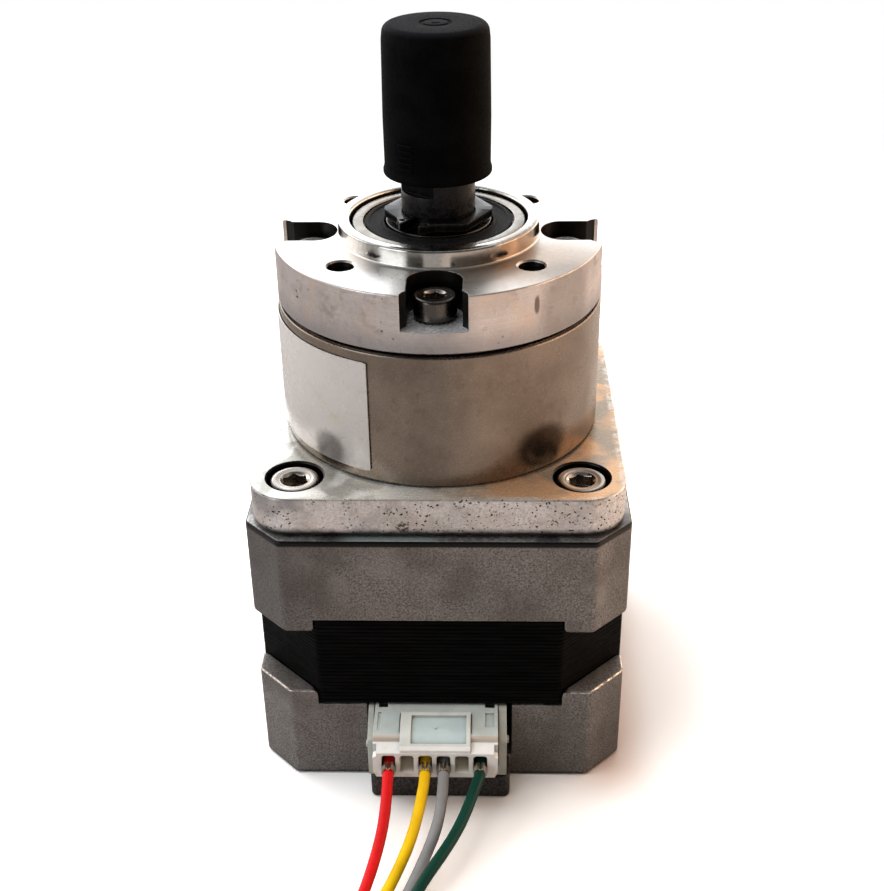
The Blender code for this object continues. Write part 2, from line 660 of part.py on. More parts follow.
def output_flange():
    spigot_r, bearing_seat_r = 17.3, 9.7
    flange = solid("output_flange", lathe([
        (5.0, 51.3), (11.0, 51.3), (11.0, 53.25), (spigot_r, 53.25), (spigot_r, FLANGE_Z0),
        (GEARBOX_R, FLANGE_Z0), (GEARBOX_R, FLANGE_TOP), (PILOT_R, FLANGE_TOP),
        (PILOT_R, PILOT_TOP), (bearing_seat_r, PILOT_TOP), (bearing_seat_r, 55.3),
        (5.0, 55.3)], 40), "machined_aluminium", HOUSING)
    notches = bmesh.new()
    for i in range(4):
        turn = Matrix.Rotation(math.radians(90 * i), 4, "Z")
        prism([notch_outline()], NOTCH_FLOOR, 65, notches, turn)
    cut(flange, "flange_notches", notches)
    holes = bmesh.new()
    for screw_place, face_place in zip(SCREW_PLACES, FACE_HOLE_PLACES):
        lathe([(0, 50), (SCREW_HOLE_R, 50), (SCREW_HOLE_R, 57), (0, 57)], 8, holes, screw_place)
        lathe([(0, 54.6), (1.3, 54.6), (1.3, 65), (0, 65)], 10, holes, face_place)
    cut(flange, "flange_holes", holes)


def label():
    """Thin label wrapped on the ring housing, with its end corners cut back."""
    inner_r, outer_r = GEARBOX_R + 0.12, GEARBOX_R + 0.26
    z0, z1 = 39.2, 52.0
    start, end, steps = math.radians(-113), math.radians(-213), 14
    rows = []
    for i in range(steps + 1):
        angle = start + (end - start) * i / steps
        trim = 0.5 if i in (0, steps) else 0.0
        rows.append([(r * math.cos(angle), r * math.sin(angle), z)
                     for r, z in ((inner_r, z0 + trim), (outer_r, z0 + trim),
                                  (outer_r, z1 - trim), (inner_r, z1 - trim))])
    solid("label", skin(rows, False), "white_label", HOUSING)


# ---------------------------------------------------- planets, carrier, shaft
PLANET_ANGLES = [FIRST_PLANET_DEG + 360 / PLANETS * k for k in range(PLANETS)]


def planet(number, deg):
    """One planet gear on its own axis, and the pin fixed to the carrier."""
    place = (*polar(CENTRE_DISTANCE, deg), 0)
    axis = empty("planet_axis_%d" % number, place, OUTPUT)
    outline = gear_outline(PLANET_TEETH, planet_half_angle, 4.45, 3.45, deg)
    solid("planet_gear_%d" % number,
          prism([outline, circle(PIN_R + 0.2, 12)], PLANET_Z0, PLANET_Z1), "gear_steel", axis)
    solid("planet_pin_%d" % number, lathe([
        (0, 39.6), (1.0, 39.6), (PIN_R, 39.85), (PIN_R, 50.2), (1.0, 50.4), (0, 50.4)], 10),
        "bright_steel", OUTPUT, place)


def planet_carrier():
    bore_r, outer_r, chamfer = 3.15, 10.3, 0.4
    carrier = solid("planet_carrier", lathe([
        (bore_r, CARRIER_Z0), (outer_r, CARRIER_Z0), (outer_r, CARRIER_Z1 - chamfer),
        (outer_r - chamfer, CARRIER_Z1), (bore_r, CARRIER_Z1)], 24), "gear_steel", OUTPUT)
    hole_r = PIN_R + 0.15
    cut(carrier, "carrier_holes", lathes([(0, 40), (hole_r, 40), (hole_r, 60), (0, 60)], 12,
                                         [polar(CENTRE_DISTANCE, deg) for deg in PLANET_ANGLES]))


def output_shaft():
    groove_r, groove_z0, groove_z1 = 3.6, 61.65, 62.75
    shaft = solid("output_shaft", lathe([
        (0, 47.9), (2.7, 47.9), (3.0, 48.2), (3.0, 50.9), (OUT_R, 50.9), (OUT_R, groove_z0),
        (groove_r, groove_z0), (groove_r, groove_z1), (OUT_R, groove_z1),
        (OUT_R, SHAFT_TOP - 0.5), (OUT_R - 0.5, SHAFT_TOP), (0, SHAFT_TOP)], 24),
        "dark_steel", OUTPUT)
    flat_x = OUT_R - FLAT_DEPTH
    cut(shaft, "shaft_flat", prism([[(flat_x, -6), (8, -6), (8, 6), (flat_x, 6)]], FLAT_Z0, 90,
                                   matrix=Matrix.Rotation(FLAT_ANGLE, 4, "Z")))


def retaining_ring():
    """Open ring with two lugs, seated in the shaft groove."""
    gap_deg, half_gap, steps = -105.0, 14, 24
    outer, inner = [], []
    for i in range(steps + 1):
        deg = gap_deg + half_gap + (360 - 2 * half_gap) * i / steps
        from_middle = abs(i / steps - 0.5) * 2       # 1 at both ends of the ring
        ripple = 0.35 * abs(math.cos(math.radians(3 * (deg - gap_deg))))
        lug = 1.1 * max(0.0, (from_middle - 0.86) / 0.14)
        outer.append(polar(min(6.75, 5.75 + ripple + lug), deg))
        inner.append(polar(3.8, deg))
    solid("retaining_ring", prism([outer + inner[::-1]], 61.75, 62.6), "dark_steel", OUTPUT)


def shaft_cap():
    """Rubber cap over the shaft end."""
    bore_r, bore_top, round_r = OUT_R + 0.15, SHAFT_TOP + 0.25, 1.0
    profile = [(bore_r, CAP_Z0), (5.83, CAP_Z0), (5.83, CAP_Z0 + 0.35), (5.68, CAP_Z0 + 0.9),
               (5.6, CAP_TOP - 1.1)]
    profile += [(4.6 + round_r * math.cos(TAU / 16 * i),
                 CAP_TOP - round_r + round_r * math.sin(TAU / 16 * i)) for i in range(1, 5)]
    profile += [(0, CAP_TOP), (0, bore_top), (bore_r, bore_top)]
    solid("shaft_cap", lathe(profile, 24), "black_rubber", OUTPUT)


# ----------------------------------------------------------------- connector
CONTACT_XS = [CONTACT_ROW_X + CONTACT_PITCH * (i - (CONTACTS - 1) / 2) for i in range(CONTACTS)]


def contact_box(x, half, y0, y1, into=None):
    """Square bar along y, centred on the contact at x."""
    return box(x - half, x + half, y0, y1, CONTACT_Z - half, CONTACT_Z + half, into)


def connector_header():
    header = solid("connector_header", side_prism([
        (HEADER_Y0, 3.4), (-18.7, 3.4), (-18.7, 10.5), (-21.5, 10.5), (HEADER_Y0, 8.6)],
        HEADER_X0, HEADER_X1), "white_nylon", HOUSING)
    cut(header, "header_cavity", box(PLUG_X0 - 0.2, PLUG_X1 + 0.3, -30, -19.6, 5.0, 20))
    pin_holes = bmesh.new()
    for x in CONTACT_XS:
        contact_box(x, 0.45, -30, -15, pin_holes)
    cut(header, "header_pin_holes", pin_holes)


def connector_board():
    """Board shaped as a ring sector, with a bent pin for each contact."""
    sector = [polar(18.1, deg) for deg in range(-125, -54, 5)]
    sector += [polar(11.4, deg) for deg in range(-55, -126, -10)]
    board = solid("connector_board", prism([sector], 3.5, 4.5), "circuit_board", HOUSING)
    half = 0.25
    bent_pin = [(-23.4, CONTACT_Z - half), (-17.7, CONTACT_Z - half), (-17.7, 4.0), (-17.2, 4.0),
                (-17.2, CONTACT_Z + half), (-23.4, CONTACT_Z + half)]
    pins = bmesh.new()
    for x in CONTACT_XS:
        side_prism(bent_pin, x - half, x + half, pins)
    join(board, "board_pins", pins)


def connector_plug():
    plug = solid("connector_plug", side_prism([
        (-20.4, 5.2), (-20.4, 10.6), (-26.1, 10.6), (-26.1, 9.45), (-27.4, 9.0), (-27.4, 5.4),
        (-27.2, 5.2)], PLUG_X0, PLUG_X1), "white_nylon", HOUSING)
    join(plug, "plug_latch", side_prism([
        (-22.7, 10.0), (-22.7, 11.0), (-26.6, 11.0), (-27.2, 10.3), (-27.2, 8.0), (-25.0, 8.0),
        (-25.0, 10.0)], -4.25, 3.45))
    cut(plug, "plug_window", box(-3.1, 3.05, -26.0, -23.2, 10.7, 20))
    slots = bmesh.new()
    for x0 in (PLUG_X0 + 0.5, PLUG_X1 - 1.5):
        box(x0, x0 + 1.0, -24.8, -15, 9.8, 20, slots)
    cut(plug, "plug_side_slots", slots)
    cavities = bmesh.new()
    for x in CONTACT_XS:
        box(x - 0.78, x + 0.78, -30, -15, 6.1, 8.35, cavities)
    cut(plug, "plug_cavities", cavities)


# colour: (contact index, (x, y, z) stations of the lead outside the plug)
LEADS = {
    "red": (0, [
        (-5.65, -29.2, 6.6), (-5.65, -31.6, 6.0), (-5.85, -34.5, 4.9), (-6.45, -37.2, 3.7),
        (-7.35, -40.4, 2.3), (-8.9, -44.5, 1.0), (-11.4, -49.0, 0.72), (-14.2, -53.5, 0.68)]),
    "yellow": (2, [
        (-1.6, -30.1, 6.5), (-2.0, -32.4, 5.8), (-2.6, -35.2, 4.6), (-3.7, -37.9, 3.4),
        (-4.9, -40.4, 2.3), (-6.9, -44.2, 1.0), (-9.4, -48.8, 0.72), (-12.0, -53.5, 0.68)]),
    "grey": (3, [
        (0.53, -30.1, 6.5), (0.35, -32.4, 5.8), (-0.05, -34.4, 4.9), (-0.7, -36.1, 4.1),
        (-1.7, -38.4, 3.1), (-3.6, -42.4, 1.4), (-6.6, -48.0, 0.72), (-9.6, -53.5, 0.68)]),
    "green": (5, [
        (4.15, -29.7, 6.6), (3.3, -32.5, 5.9), (2.15, -35.2, 5.2), (0.8, -37.9, 4.9),
        (-0.75, -40.3, 4.4), (-2.4, -43.0, 3.3), (-4.7, -47.8, 1.4), (-7.0, -53.5, 0.68)]),
}


def smooth_path(stations, steps=2):
    """Catmull-Rom curve through the stations."""
    points = [Vector(station) for station in stations]
    last = len(points) - 1
    path = []
    for i in range(last):
        before, start = points[max(i - 1, 0)], points[i]
        end, after = points[i + 1], points[min(i + 2, last)]
        for step in range(steps):
            t = step / steps
            path.append(0.5 * ((2 * start) + (end - before) * t
                               + (2 * before - 5 * start + 4 * end - after) * t * t
                               + (3 * start - before - 3 * end + after) * t ** 3))
    path.append(points[-1])
    return path


def tube(path, radius, sides=6):
    """Round bar swept along the points of path."""
    rows = []
    for i, point in enumerate(path):
        along = (path[min(i + 1, len(path) - 1)] - path[max(i - 1, 0)]).normalized()
        across = along.cross(Vector((0, 0, 1))).normalized()
        up = across.cross(along).normalized()
        rows.append([point + radius * (math.cos(TAU * k / sides) * across
                                       + math.sin(TAU * k / sides) * up) for k in range(sides)])
    return skin(rows, False)


def lead(colour, x, stations):
    """One lead, starting inside the plug, and its crimp terminal."""
    path = smooth_path([(x, -26.3, 6.9), (x, -27.6, 6.85)] + stations)
    solid("lead_" + colour, tube(path, LEAD_R), colour + "_lead", HOUSING)
    terminal = solid("terminal_" + colour, contact_box(x, 0.6, -26.0, -20.7), "tin_plate", HOUSING)
    cut(terminal, "terminal_bore_" + colour, contact_box(x, 0.42, -30, -15))


# --------------------------------------------------------------------- build
def build_motor():
    rear_end_cap()
    front_end_cap()
    stator_core()
    insulator("rear_insulator", REAR_CAP_TOP - INSULATOR_THICKNESS)
    insulator("front_insulator", FRONT_CAP_BOTTOM)
    winding("winding_phase_a", 0, 16.0)
    winding("winding_phase_b", 45, 14.0)
    rotor_core("rotor_core_rear", 11.0, 0.0)
    rotor_core("rotor_core_front", 17.4, ROTOR_PITCH / 2)
    rotor_magnet()
    motor_shaft()
    motor_bearing("rear_bearing", REAR_BEARING_Z0, REAR_CAGE)
    motor_bearing("front_bearing", FRONT_BEARING_Z0, FRONT_CAGE)
    wave_washer()


def build_gearbox():
    sun_gear()
    output_bearing()
    screws()
    adapter_plate()
    ring_gear_housing()
    output_flange()
    for number, deg in enumerate(PLANET_ANGLES, 1):
        planet(number, deg)
    planet_carrier()
    output_shaft()
    retaining_ring()
    shaft_cap()
    label()


def build_connector():
    connector_header()
    connector_board()
    connector_plug()
    for colour, (contact, stations) in LEADS.items():
        lead(colour, CONTACT_XS[contact], stations)


build_motor()
build_gearbox()
build_connector()
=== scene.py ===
"""Looks of a geared stepper motor.

The motor stands upright: its shaft runs up the z axis, the rear end cap rests on z = 0 and
the connector with its four leads is on the -y side.  Each visible part is rebuilt finer than
the CAD solid it stands for.  Parts shut inside keep their CAD mesh and get a material.
Sizes are in millimetres unless noted; MM turns them into scene metres.
"""
import math

import bmesh
import bpy
from mathutils import Matrix, Vector


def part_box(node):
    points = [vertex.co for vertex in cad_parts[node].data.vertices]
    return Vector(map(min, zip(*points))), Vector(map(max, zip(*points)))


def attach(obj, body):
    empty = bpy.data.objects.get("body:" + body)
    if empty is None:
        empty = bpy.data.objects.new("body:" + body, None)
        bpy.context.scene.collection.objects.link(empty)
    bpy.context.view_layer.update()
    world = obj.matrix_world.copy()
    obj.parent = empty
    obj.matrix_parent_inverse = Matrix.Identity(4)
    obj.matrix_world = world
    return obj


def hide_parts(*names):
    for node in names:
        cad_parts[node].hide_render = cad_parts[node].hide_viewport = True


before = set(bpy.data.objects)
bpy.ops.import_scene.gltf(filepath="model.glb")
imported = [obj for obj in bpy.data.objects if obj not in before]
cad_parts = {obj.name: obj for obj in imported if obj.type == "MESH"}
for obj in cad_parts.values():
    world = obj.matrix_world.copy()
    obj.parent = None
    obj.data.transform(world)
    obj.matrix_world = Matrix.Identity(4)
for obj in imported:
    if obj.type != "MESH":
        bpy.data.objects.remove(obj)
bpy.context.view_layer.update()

MM = 0.001
TAU = 2.0 * math.pi


# ------------------------------------------------------------ driving dimensions
def cad_box(node):
    """Low and high corner of a CAD piece, in millimetres."""
    low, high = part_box(node)
    return low * 1000.0, high * 1000.0


def polar(radius, degrees):
    angle = math.radians(degrees)
    return (radius * math.cos(angle), radius * math.sin(angle))


REAR, FRONT = cad_box("rear_end_cap"), cad_box("front_end_cap")
STACK, PLATE = cad_box("stator_core"), cad_box("adapter_plate")
RING, FLANGE = cad_box("ring_gear_housing"), cad_box("output_flange")
SHAFT, SHAFT_CAP = cad_box("output_shaft"), cad_box("shaft_cap")
CLIP, SEAL = cad_box("retaining_ring"), cad_box("output_bearing_seal")
BEARING, LABEL = cad_box("output_bearing_outer_ring"), cad_box("label")
HEADER, PLUG = cad_box("connector_header"), cad_box("connector_plug")

HALF = FRONT[1].x                    # half width of the square motor
REAR_TOP = REAR[1].z                 # tips of the rear cap's corner tabs
REAR_STEP = REAR_TOP - 2.0           # ledge between the tabs
FRONT_LOW = FRONT[0].z               # tips of the front cap's corner tabs
FRONT_STEP = FRONT_LOW + 1.75
FRONT_TOP = FRONT[1].z - 2.0         # front cap face below its round boss
PLATE_HALF = PLATE[1].x
PLATE_LOW = PLATE[0].z
PLATE_TOP = PLATE[1].z - 1.4         # plate face below its round boss
RING_R = RING[1].x
FLANGE_TOP = FLANGE[1].z - 1.95      # flange face below the pilot ring
PILOT_TOP = FLANGE[1].z
PILOT_R = 11.0                       # also the boss radius of front cap and plate

CAVITY_R = 18.5                      # space for the rotor end in both caps
COLLAR_R = 10.2                      # raised collar round the bearing pocket
POCKET_R = 8.15
BOLT_HOLE_R = 1.75
BOLT_OFFSET = 15.5                   # bolt axes from the centre in x and y
BOLTS = [(BOLT_OFFSET, -BOLT_OFFSET), (BOLT_OFFSET, BOLT_OFFSET),
         (-BOLT_OFFSET, BOLT_OFFSET), (-BOLT_OFFSET, -BOLT_OFFSET)]
SCREW_CIRCLE_R = 14.0                # flange screws and tapped holes
FLANGE_SCREW_HOLE_R = 1.4
FLANGE_SCREWS = [polar(SCREW_CIRCLE_R, -90 + 90 * i) for i in range(4)]
TAPPED_HOLES = [polar(SCREW_CIRCLE_R, -45 + 90 * i) for i in range(4)]
FLAT_ANGLE = -130                    # direction the flat of the output shaft faces


# ---------------------------------------------------------------------- outlines
def fillet(outline, steps=5):
    """Round the corners of a closed outline given as (x, y, radius)."""
    rounded = []
    for i, (x, y, radius) in enumerate(outline):
        corner = Vector((x, y))
        back = Vector(outline[i - 1][:2]) - corner
        ahead = Vector(outline[(i + 1) % len(outline)][:2]) - corner
        if radius <= 1e-6 or back.length < 1e-9 or ahead.length < 1e-9:
            rounded.append((x, y))
            continue
        back_length, ahead_length = back.length, ahead.length
        back, ahead = back / back_length, ahead / ahead_length
        angle = math.acos(max(-1.0, min(1.0, back.dot(ahead))))
        if angle > math.radians(178.5):
            rounded.append((x, y))
            continue
        tangent = min(radius / math.tan(angle / 2), 0.49 * back_length, 0.49 * ahead_length)
        fitted = tangent * math.tan(angle / 2)
        centre = corner + (back + ahead).normalized() * (fitted / math.sin(angle / 2))
        first, last = corner + back * tangent - centre, corner + ahead * tangent - centre
        start = math.atan2(first.y, first.x)
        sweep_angle = (math.atan2(last.y, last.x) - start + math.pi) % TAU - math.pi
        for j in range(steps + 1):
            a = start + sweep_angle * j / steps
            rounded.append((centre.x + fitted * math.cos(a), centre.y + fitted * math.sin(a)))
    return rounded


def chamfered_square(half, chamfer):
    inner = half - chamfer
    return [(half, -inner), (half, inner), (inner, half), (-inner, half),
            (-half, inner), (-half, -inner), (-inner, -half), (inner, -half)]


def chamfered_outline(half, flat, radius, inset, steps=5):
    """Square whose chamfers leave 2 * half - flat off each corner, moved in by inset."""
    chamfer = 2 * (half - inset) - (2 * half - flat) + inset * math.sqrt(2)
    square = chamfered_square(half - inset, chamfer)
    return fillet([(x, y, max(radius - inset, 0.05)) for x, y in square], steps)


def rectangle(x0, x1, y0, y1, radius, inset):
    x0, x1, y0, y1 = x0 + inset, x1 - inset, y0 + inset, y1 - inset
    corner = max(radius - inset, 0.03)
    return fillet([(x0, y0, corner), (x1, y0, corner), (x1, y1, corner), (x0, y1, corner)], 4)


def circle(radius, sides, centre=(0.0, 0.0), phase=0.0):
    return [(centre[0] + radius * math.cos(phase + TAU * i / sides),
             centre[1] + radius * math.sin(phase + TAU * i / sides)) for i in range(sides)]


def rounded_levels(z0, z1, low_radius, top_radius, steps=4):
    """(inset, z) levels of a body with rounded bottom and top edges."""
    levels = []
    for j in range(steps + 1):
        a = TAU / 4 * j / steps
        levels.append((low_radius * (1 - math.sin(a)), z0 + low_radius * (1 - math.cos(a))))
    for j in range(steps + 1):
        a = TAU / 4 * (1 - j / steps)
        levels.append((top_radius * (1 - math.sin(a)), z1 - top_radius * (1 - math.cos(a))))
    return levels


# ------------------------------------------------------------------- mesh pieces
SIDE = Matrix(((0, 0, 1, 0), (1, 0, 0, 0), (0, 1, 0, 0), (0, 0, 0, 1)))  # (y, z) along x
FACE = Matrix(((1, 0, 0, 0), (0, 0, 1, 0), (0, 1, 0, 0), (0, 0, 0, 1)))  # (x, z) along y


def shifted(centre):
    return Matrix.Translation(Vector((*centre, 0)) * MM)


def quarter_turn(k):
    return Matrix.Rotation(TAU / 4 * k, 4, "Z")


def tidy(mesh):
    bmesh.ops.remove_doubles(mesh, verts=mesh.verts, dist=2e-7)
    bmesh.ops.recalc_face_normals(mesh, faces=mesh.faces)
    if mesh.calc_volume(signed=True) < 0:
        bmesh.ops.reverse_faces(mesh, faces=mesh.faces)


def add_row(mesh, points):
    return [mesh.verts.new((x * MM, y * MM, z * MM)) for x, y, z in points]


def bridge(mesh, low, high):
    for k in range(len(low)):
        j = (k + 1) % len(low)
        mesh.faces.new((low[k], low[j], high[j], high[k]))


def skin(mesh, rows):
    """Close a body through rows of equally many vertices."""
    for low, high in zip(rows, rows[1:]):
        bridge(mesh, low, high)
    mesh.faces.new(rows[0][::-1])
    mesh.faces.new(rows[-1])
    tidy(mesh)
    return mesh


def lathe(profile, sides=128, centre=(0.0, 0.0)):
    """Body of revolution of a closed (radius, z) profile."""
    mesh = bmesh.new()
    rows = []
    for radius, z in profile:
        around = [(*centre, z)] if radius < 1e-6 else [
            (x, y, z) for x, y in circle(radius, sides, centre)]
        rows.append(add_row(mesh, around))
    for low, high in zip(rows, rows[1:] + rows[:1]):
        if len(low) > 1 and len(high) > 1:
            bridge(mesh, low, high)
        elif len(low) > 1 or len(high) > 1:
            for k in range(sides):
                j = (k + 1) % sides
                if len(low) == 1:
                    mesh.faces.new((low[0], high[k], high[j]))
                else:
                    mesh.faces.new((low[k], low[j], high[0]))
    tidy(mesh)
    return mesh


def turned(profile, sides=128, centre=(0.0, 0.0), steps=4):
    """Lathe of a profile given as (radius, z, corner radius)."""
    return lathe(fillet(profile, steps), sides, centre)


def lathe_each(profile, sides, centres):
    return [lathe(profile, sides, centre) for centre in centres]


def rod(radius, z0, z1):
    """Lathe profile of a plain rod."""
    return [(0, z0), (radius, z0), (radius, z1), (0, z1)]


def prism(outline, z0, z1, matrix=None):
    mesh = bmesh.new()
    base = add_row(mesh, [(x, y, z0) for x, y in outline])
    edges = [mesh.edges.new((base[i], base[(i + 1) % len(base)])) for i in range(len(base))]
    fill = bmesh.ops.triangle_fill(mesh, use_beauty=True, use_dissolve=False, edges=edges)
    faces = [g for g in fill["geom"] if isinstance(g, bmesh.types.BMFace)]
    grown = bmesh.ops.extrude_face_region(mesh, geom=faces)
    top = [g for g in grown["geom"] if isinstance(g, bmesh.types.BMVert)]
    bmesh.ops.translate(mesh, verts=top, vec=(0, 0, (z1 - z0) * MM))
    tidy(mesh)
    if matrix is not None:
        mesh.transform(matrix)
        tidy(mesh)
    return mesh


def loft(outline, levels):
    """Body through outline(inset) at several (inset, z) levels."""
    mesh = bmesh.new()
    return skin(mesh, [add_row(mesh, [(x, y, z) for x, y in outline(inset)])
                       for inset, z in levels])


def box(x0, x1, y0, y1, z0, z1):
    return prism([(x0, y0), (x1, y0), (x1, y1), (x0, y1)], z0, z1)


def sweep(path, radii, sides, offset=(0.0, 0.0)):
    """Round tube along a path, set off sideways and upwards by offset."""
    mesh = bmesh.new()
    rows = []
    for i, point in enumerate(path):
        along = (path[min(i + 1, len(path) - 1)] - path[max(i - 1, 0)]).normalized()
        side = along.cross(Vector((0, 0, 1))).normalized()
        above = side.cross(along).normalized()
        centre = point + side * offset[0] + above * offset[1]
        rows.append(add_row(mesh, [centre + x * side + y * above
                                   for x, y in circle(radii[i], sides)]))
    return skin(mesh, rows)


# ----------------------------------------------------------------------- objects
def solid(name, *pieces):
    """Object made of one or more mesh pieces."""
    merged = bmesh.new()
    for piece in pieces:
        scratch = bpy.data.meshes.new("scratch")
        piece.to_mesh(scratch)
        piece.free()
        merged.from_mesh(scratch)
        bpy.data.meshes.remove(scratch)
    tidy(merged)
    data = bpy.data.meshes.new(name)
    merged.to_mesh(data)
    merged.free()
    ob = bpy.data.objects.new(name, data)
    bpy.context.scene.collection.objects.link(ob)
    return ob


def bake(ob):
    """Apply the modifiers of ob to its mesh."""
    depsgraph = bpy.context.evaluated_depsgraph_get()
    depsgraph.update()
    baked = bpy.data.meshes.new_from_object(ob.evaluated_get(depsgraph))
    ob.modifiers.clear()
    old = ob.data
    ob.data = baked
    bpy.data.meshes.remove(old)
    baked.name = ob.name


def boolean(ob, operation, pieces):
    tool = solid("tool", *pieces)
    modifier = ob.modifiers.new("boolean", "BOOLEAN")
    modifier.operation = operation
    modifier.object = tool
    modifier.solver = "EXACT"
    bake(ob)
    data = tool.data
    bpy.data.objects.remove(tool, do_unlink=True)
    bpy.data.meshes.remove(data)


def cut(ob, *pieces):
    boolean(ob, "DIFFERENCE", pieces)


def fuse(ob, *pieces):
    boolean(ob, "UNION", pieces)


def soften(ob, width):
    """Bevel the sharp edges."""
    modifier = ob.modifiers.new("bevel", "BEVEL")
    modifier.width = width * MM
    modifier.segments = 2
    modifier.limit_method = "ANGLE"
    modifier.angle_limit = math.radians(40)
    modifier.use_clamp_overlap = True
    bake(ob)


def finish(ob, node, materials, paint=None, angle=30, body="housing"):
    """Shade ob and register it; paint(centre, normal) gives a face's material index."""
    data = ob.data
    data.materials.clear()
    for material in materials:
        data.materials.append(material)
    for face in data.polygons:
        face.material_index = paint(face.center * 1000.0, face.normal) if paint else 0
    data.shade_smooth()
    data.set_sharp_from_angle(angle=math.radians(angle))
    modifier = ob.modifiers.new("normals", "WEIGHTED_NORMAL")
    modifier.mode = "FACE_AREA"
    modifier.weight = 50
    modifier.keep_sharp = True
    bake(ob)
    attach(ob, body)
    if node:
        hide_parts(node)


# ------------------------------------------------------------------ shader nodes
class Value:
    """A node output; each operator adds a math node fed by it."""

    def __init__(self, graph, socket):
        self.graph = graph
        self.socket = socket

    def math(self, operation, other=0.0):
        return self.graph.add("Math", {0: self, 1: other}, operation=operation)

    def __add__(self, other):
        return self.math("ADD", other)

    def __sub__(self, other):
        return self.math("SUBTRACT", other)

    def __mul__(self, other):
        return self.math("MULTIPLY", other)

    def ramp(self, over=(0.3, 0.7), to=(0.0, 1.0), kind="SMOOTHSTEP"):
        """Map the range over onto the range to, held at both ends."""
        inputs = {"Value": self, "From Min": over[0], "From Max": over[1],
                  "To Min": to[0], "To Max": to[1]}
        return self.graph.add("MapRange", inputs, interpolation_type=kind)

    def rise(self, over, top=1.0):
        return self.ramp(over, (0.0, top))

    def fall(self, over, top=1.0):
        return self.ramp(over, (top, 0.0))

    def line(self, width):
        """1 along the thin lines where the value passes one half."""
        return (self - 0.5).math("ABSOLUTE").fall(over=(0.0, width))


class Graph:
    """Builds one node tree."""

    def __init__(self, tree):
        self.tree = tree
        tree.nodes.clear()

    def put(self, socket, value):
        if isinstance(value, Value):
            self.tree.links.new(value.socket, socket)
        elif isinstance(value, tuple) and socket.type == "RGBA":
            socket.default_value = (*value, 1.0)
        else:
            socket.default_value = value

    def node(self, kind, inputs, **settings):
        node = self.tree.nodes.new("ShaderNode" + kind)
        for name, setting in settings.items():
            setattr(node, name, setting)
        for key, value in inputs.items():
            self.put(node.inputs[key], value)
        return node

    def add(self, kind, inputs, output=0, **settings):
        return Value(self, self.node(kind, inputs, **settings).outputs[output])

    def mix(self, mask, under, over):
        return self.add("Mix", {0: mask, 6: under, 7: over}, 2, data_type="RGBA")

    def xyz(self, vector):
        return [Value(self, out) for out in self.node("SeparateXYZ", {0: vector}).outputs]

    def camera_ray(self):
        return self.add("LightPath", {}, "Is Camera Ray")


